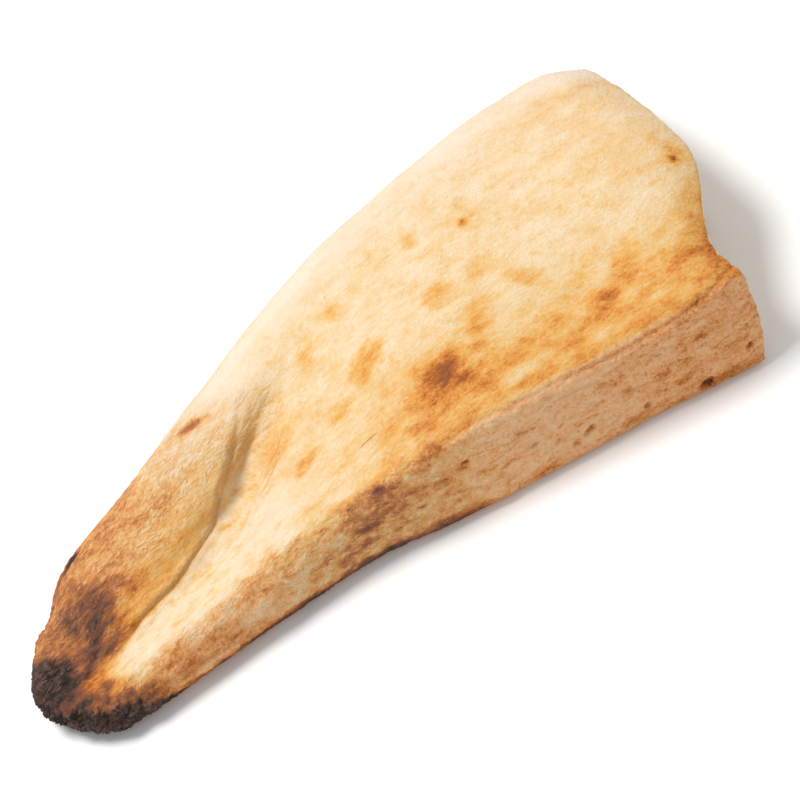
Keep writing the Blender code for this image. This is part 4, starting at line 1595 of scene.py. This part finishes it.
def grain_group() -> bpy.types.NodeTree:
    """Sandy grain and soft lumps, as masks from 0 to 1.

    Returns:
        The group's tree.
    """
    graph, source, target = open_group(
        "sandy grain", {"Place": VECTOR, "Scale": VALUE}, {"Grain": VALUE, "Lumps": VALUE},
    )
    place, scale = source["Place"], source["Scale"]
    third = graph.math("MULTIPLY", scale, 0.36)
    graph.feed(target["Grain"], graph.span(graph.noise(place, scale, 4.0, 0.78), 0.25, 0.75))
    graph.feed(target["Lumps"], graph.span(graph.noise(place, third, 3.0, 0.62), 0.25, 0.75))
    return graph.tree


def freckle_group() -> bpy.types.NodeTree:
    """Small toasted freckles in loose flocks, as a mask from 0 to 1.

    Returns:
        The group's tree.
    """
    graph, source, target = open_group(
        "freckles", {"Place": VECTOR, "Scale": VALUE}, {"Freckles": VALUE},
    )
    place, scale = source["Place"], source["Scale"]
    dots = graph.noise(place, scale, 3.0, 0.60)
    flock = graph.noise(place, graph.math("MULTIPLY", scale, 0.2), 1.0, 0.5)
    level = graph.math("SUBTRACT", 0.66, graph.math("MULTIPLY", flock, 0.20))
    graph.feed(target["Freckles"], graph.span(graph.math("SUBTRACT", dots, level), 0.0, 0.16))
    return graph.tree


@dataclass
class BreadMaterial:
    """One material for the whole piece, mixed from its finishes by the masks that its mesh carries."""

    crust: CrustFinish = CrustFinish()
    side: SideFinish = SideFinish()
    crumb: CrumbFinish = CrumbFinish()
    char: CharFinish = CharFinish()
    line_width: float = 0.14  # half width of a hairline, in millimetres
    graph: Graph = field(init=False)
    mask: dict[Mask, Socket] = field(init=False)
    fibres: bpy.types.NodeOutputs = field(init=False)
    skin: bpy.types.NodeOutputs = field(init=False)
    sand: bpy.types.NodeOutputs = field(init=False)
    freckles: Socket = field(init=False)
    hairline: Socket = field(init=False)
    lively: Socket = field(init=False)  # how strongly the patterns show, from 0 to 1

    def build(self) -> bpy.types.Material:
        """Make the material.

        Returns:
            The material, ready for the piece.
        """
        material = bpy.data.materials.new("baked_shoti")
        material.use_nodes = True
        self.graph = Graph(material.node_tree)
        self.read_patterns()
        graph, skin = self.graph, self.skin
        patchy = graph.span(skin["Blotches"], 0.0, 0.5, 0.82, 1.0)
        burnt = graph.math("MULTIPLY", self.mask[Mask.CHAR], patchy)
        colour = graph.mix(self.mask[Mask.CRUMB], self.crust_colour(), self.crumb_colour())
        dusty = graph.math("MULTIPLY", skin["Pebbles"], graph.span(skin["Blotches"], 0.2, 0.7, 0.7, 1.3))
        soot = graph.mix(graph.span(dusty, 0.36, 0.92), self.char.black, self.char.brown)
        matt = graph.between(self.sand["Grain"], *self.crust.roughness)
        roughness = graph.add("ShaderNodeMix", {"Factor": burnt, "A": matt, "B": self.char.roughness})
        shader = material.node_tree.nodes["Principled BSDF"]
        shader.inputs["Specular IOR Level"].default_value = self.crust.specular
        graph.feed(shader.inputs["Base Color"], graph.mix(burnt, colour, soot))
        graph.feed(shader.inputs["Roughness"], roughness.outputs["Result"])
        graph.feed(shader.inputs["Normal"], self.fine_relief())
        return material

    def read_patterns(self) -> None:
        """Read the mesh's masks and place the groups, for the finishes to share."""
        graph = self.graph
        self.mask = {item: graph.attribute(item.value) for item in Mask}
        flow = graph.attribute("flow", "Vector")
        place = graph.add("ShaderNodeTexCoord").outputs["Object"]
        self.fibres = graph.group(fibres_group(), Flow=flow, Stretch=self.crust.fibre_stretch)
        self.skin = graph.group(pebbles_group(), Flow=flow, Stretch=self.crust.pebble_stretch)
        self.sand = graph.group(grain_group(), Place=place, Scale=self.crust.grain_scale)
        freckles = graph.group(freckle_group(), Place=flow, Scale=self.crust.freckle_scale)
        self.freckles = freckles["Freckles"]
        self.hairline = self.draw_hairline()
        toast_and_shade = self.mask[Mask.TOAST_AND_SHADE]
        lively = graph.math("MAXIMUM", self.mask[Mask.PEBBLED], graph.span(toast_and_shade, 0.16, 0.60, 0.0, 0.65))
        self.lively = graph.math("MULTIPLY", lively, graph.span(toast_and_shade, 0.48, 0.72, 1.0, 0.45))

    def draw_hairline(self) -> Socket:
        """Draw the hairlines, each wavering a little.

        Returns:
            How far inside a hairline a place lies, from 0 to 1.
        """
        graph = self.graph
        waver = graph.between(self.sand["Lumps"], -0.25, 0.25)
        across = graph.math("ABSOLUTE", graph.math("ADD", self.mask[Mask.LINE_OFFSET], waver))
        inside = graph.span(across, self.line_width, self.line_width * 2.2, 1.0, 0.0)
        return graph.math("MULTIPLY", inside, self.mask[Mask.LINE])

    def crust_colour(self) -> Socket:
        """Colour the skin: baked, floured, flecked, sandy on its side, with painted shade in and beside the
        fold and along the hairlines, and pale specks that are partly painted highlight.

        Returns:
            The skin's colour.
        """
        graph, mask = self.graph, self.mask
        colour = graph.ramp(self.toast_and_shade_level(), self.crust.bake)
        cloudy = graph.between(self.sand["Lumps"], 0.6, 1.0)
        bloom = graph.math("MULTIPLY", mask[Mask.FLOUR], cloudy)
        bloom = graph.math("MULTIPLY", bloom, graph.span(mask[Mask.TOAST_AND_SHADE], 0.26, 0.44, 1.0, 0.1))
        colour = graph.mix(bloom, colour, self.crust.bloom)
        uneven = graph.span(self.skin["Pebbles"], 0.2, 0.8, 1.0, 0.7)
        # Painted shade in and beside the fold, broken up by the pebbles.
        colour = graph.mix(graph.math("MULTIPLY", mask[Mask.FOLD_SHADE], uneven), colour, self.crust.fold_shade)
        unburnt = graph.span(mask[Mask.TOAST_AND_SHADE], 0.40, 0.80, 0.60, 0.10)
        # Pale specks on the pebbles' crests: partly flour, partly painted highlight.
        specks = graph.between(self.skin["Specks"], 0.30, 1.0)
        specks = graph.math("MULTIPLY", specks, graph.math("MULTIPLY", mask[Mask.PEBBLED], unburnt))
        colour = graph.mix(specks, colour, self.crust.speck_and_highlight)
        colour = graph.mix(mask[Mask.SIDE], colour, graph.ramp(self.side_level(), self.side.bake))
        # The hairlines darken the skin with painted shade.
        return graph.mix(graph.math("MULTIPLY", self.hairline, 0.6), colour, self.crust.crack_shade)

    def vary(self, added: list[tuple[Socket, Feed]], swings: list[tuple[Socket, Feed]]) -> Socket:
        """Vary the toast by patterns, each with its weight.

        Args:
            added: Patterns that only add to it.
            swings: Patterns that swing it up and down about their middle of 0.5.

        Returns:
            The baked level, from 0 to 1.
        """
        graph = self.graph
        parts = [(self.mask[Mask.TOAST_AND_SHADE], 1.0), *added]
        parts += [(graph.math("SUBTRACT", pattern, 0.5), weight) for pattern, weight in swings]
        return graph.math("ADD", graph.total(parts), 0.0, clamp=True)

    def toast_and_shade_level(self) -> Socket:
        """Vary the skin's toast by its fibres, pebbles, grain and freckles.

        Returns:
            The skin's baked level.
        """
        graph, lively = self.graph, self.lively
        # The fibres, pebbles and grain swing the toast against their bump heights, so the skin is paler on
        # their crests and darker in their hollows: painted highlight and painted shade.
        return self.vary([(self.freckles, 0.075)], [
            (self.fibres["Fine"], graph.between(lively, -0.09, -0.16)),
            (self.fibres["Bold"], graph.between(lively, 0.06, 0.09)),
            (self.skin["Pebbles"], graph.between(lively, -0.05, -0.38)),
            (self.skin["Blotches"], graph.between(lively, 0.06, 0.28)),
            (self.sand["Grain"], graph.between(lively, -0.11, -0.16)),
        ])

    def side_level(self) -> Socket:
        """Vary the slanted side's toast by its sand.

        Returns:
            The side's baked level.
        """
        # The grain and pebbles swing the toast against their bump heights, so the side is paler on their
        # crests and darker in their hollows: painted highlight and painted shade.
        return self.vary([], [
            (self.sand["Grain"], -0.48),
            (self.sand["Lumps"], 0.12),
            (self.skin["Pebbles"], -0.20),
            (self.fibres["Bold"], 0.24),
        ])

    def crumb_colour(self) -> Socket:
        """Colour the crumb, darker in soft patches and with painted shade deeper in its holes.

        Returns:
            The crumb's colour.
        """
        graph = self.graph
        soft = graph.span(self.sand["Lumps"], 0.1, 0.6, 0.35, 0.0)
        # Painted shade deeper in the holes, with soft darker patches of the crumb's own.
        tone_and_shade = graph.math("ADD", graph.math("MULTIPLY", self.mask[Mask.HOLLOW], 0.6), soft, clamp=True)
        return graph.mix(tone_and_shade, self.crumb.pale, self.crumb.deep_and_shade)

    def fine_relief(self) -> Socket:
        """Raise the relief that is finer than the mesh, with heights in metres.

        Returns:
            The bumped normal.
        """
        graph, mask = self.graph, self.mask
        height = graph.total([
            (self.fibres["Fine"], graph.between(self.lively, 0.00014, 0.00018)),
            (self.skin["Pebbles"], graph.between(mask[Mask.PEBBLED], 0.00012, 0.00056)),
            (self.sand["Grain"], graph.between(mask[Mask.SIDE], 0.00020, 0.00044)),
            (self.sand["Lumps"], graph.between(mask[Mask.CRUMB], 0.00006, 0.00030)),
            (self.fibres["Bold"], graph.between(mask[Mask.CHAR], 0.0, 0.00070)),
            (self.hairline, -0.00012),
        ])
        bump = graph.add("ShaderNodeBump", {"Strength": 1.0, "Distance": 1.0, "Height": height})
        return bump.outputs["Normal"]


# ---------------------------------------------------------------- studio

@dataclass(frozen=True)
class PhotoView:
    """Where the photograph was taken from, as the loaf's own axes see it.

    Swing and tilt give the line of sight, and slant is the direction of the loaf's length in the
    picture, from the picture's right.
    """

    swing: float = 8.0
    tilt: float = 35.0
    slant: float = 219.425
    distance: float = 1.3
    picture_width: float = 0.224
    sensor: float = 36.0
    centre_right: float = 4.78 * MM
    centre_up: float = 16.32 * MM

    def axes(self) -> tuple[Vector, Vector, Vector]:
        """Find how the picture lies in the loaf's frame.

        Returns:
            The picture's right and up, and the way to the camera.
        """
        swing, tilt, slant = (math.radians(a) for a in (self.swing, self.tilt, self.slant))
        level = math.cos(swing)
        back = Vector((math.sin(swing), level * math.sin(tilt), level * math.cos(tilt)))
        along = Vector((1.0, 0.0, 0.0))
        along = (along - along.dot(back) * back).normalized()
        aside = back.cross(along)
        right = along * math.cos(slant) - aside * math.sin(slant)
        up = along * math.sin(slant) + aside * math.cos(slant)
        return right, up, back

    def target(self) -> Vector:
        """The point at the middle of the picture."""
        right, up, _ = self.axes()
        return right * self.centre_right + up * self.centre_up


@dataclass
class Studio:
    """A plain pale floor, a soft key from the picture's upper left, and the camera."""

    view: PhotoView = PhotoView()
    floor_side: float = 6.0
    floor_colour: Colour = (0.93, 0.93, 0.93)
    floor_roughness: float = 0.9
    floor_specular: float = 0.1
    key_power: float = 18.3
    key_colour: Colour = (1.0, 0.985, 0.96)
    key_size: float = 0.60
    key_distance: float = 1.5
    key_lean: tuple[float, float] = (-1.1, 0.85)  # to the picture's right and up
    ambient: float = 0.60
    ambient_colour: Colour = (0.97, 0.985, 1.0)

    def build(self) -> None:
        """Set up the floor, the lights and the camera."""
        self.lay_floor()
        self.hang_key()
        self.light_room()
        self.place_camera()

    def lay_floor(self) -> None:
        """Lay the pale floor that the loaf lies on."""
        bpy.ops.object.select_all(action="DESELECT")
        bpy.ops.mesh.primitive_plane_add(size=self.floor_side, location=(0.0, 0.0, 0.0))
        floor = bpy.context.active_object
        floor.name = "floor"
        material = bpy.data.materials.new("pale_floor")
        material.use_nodes = True
        shader = material.node_tree.nodes["Principled BSDF"]
        shader.inputs["Base Color"].default_value = (*self.floor_colour, 1.0)
        shader.inputs["Roughness"].default_value = self.floor_roughness
        shader.inputs["Specular IOR Level"].default_value = self.floor_specular
        floor.data.materials.append(material)

    def hang_key(self) -> None:
        """Hang the soft key light."""
        right, up, back = self.view.axes()
        way = (right * self.key_lean[0] + up * self.key_lean[1] + back).normalized()
        light = bpy.data.lights.new("key", "AREA")
        light.shape = "DISK"
        light.size = self.key_size
        light.energy = self.key_power
        light.color = self.key_colour
        lamp = bpy.data.objects.new("key", light)
        lamp.location = way * self.key_distance
        lamp.rotation_euler = way.to_track_quat("Z", "Y").to_euler()
        bpy.context.scene.collection.objects.link(lamp)

    def light_room(self) -> None:
        """Fill the room with even, faintly cool light."""
        world = bpy.data.worlds.new("room")
        world.use_nodes = True
        background = world.node_tree.nodes["Background"]
        background.inputs["Color"].default_value = (*self.ambient_colour, 1.0)
        background.inputs["Strength"].default_value = self.ambient
        bpy.context.scene.world = world
        bpy.context.scene.view_settings.view_transform = "Standard"

    def place_camera(self) -> None:
        """Put the camera where the photograph was taken from."""
        right, up, back = self.view.axes()
        data = bpy.data.cameras.new("photo view")
        data.sensor_width = self.view.sensor
        data.lens = self.view.sensor * self.view.distance / self.view.picture_width
        data.clip_start = 0.01
        camera = bpy.data.objects.new("photo view", data)
        turn = Matrix((right, up, back)).transposed().to_4x4()
        camera.matrix_world = Matrix.Translation(self.view.target() + back * self.view.distance) @ turn
        bpy.context.scene.collection.objects.link(camera)
        bpy.context.scene.camera = camera


# ---------------------------------------------------------------- the whole

def build_bread() -> bpy.types.Object:
    """Make the bread, from its form to its material.

    Returns:
        The finished piece.
    """
    loaf = Loaf(frame["nodes"]["shoti_end"])
    loaf.shape()
    zones = loaf.survey()
    bake = Bake(loaf, zones)
    char = bake.char()
    relief = Relief(loaf, zones)
    relief.build(char)
    store(loaf.piece, bake.masks(char, relief), zones.flow)
    bpy.ops.object.select_all(action="DESELECT")
    loaf.piece.select_set(True)
    bpy.context.view_layer.objects.active = loaf.piece
    bpy.ops.object.shade_smooth()
    loaf.piece.data.materials.clear()
    loaf.piece.data.materials.append(BreadMaterial().build())
    return loaf.piece


def main() -> None:
    """Build the bread and its studio, and report each piece."""
    logging.basicConfig(level=logging.INFO, format="%(name)s: %(message)s")
    piece = build_bread()
    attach(piece, "root")
    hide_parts("shoti_end")
    triangles = sum(len(face.vertices) - 2 for face in piece.data.polygons)
    LOG.info("%s: %d points, %d triangles", piece.name, len(piece.data.vertices), triangles)
    Studio().build()
    LOG.info("studio: floor, key light and camera")


if __name__ == "__main__":
    main()
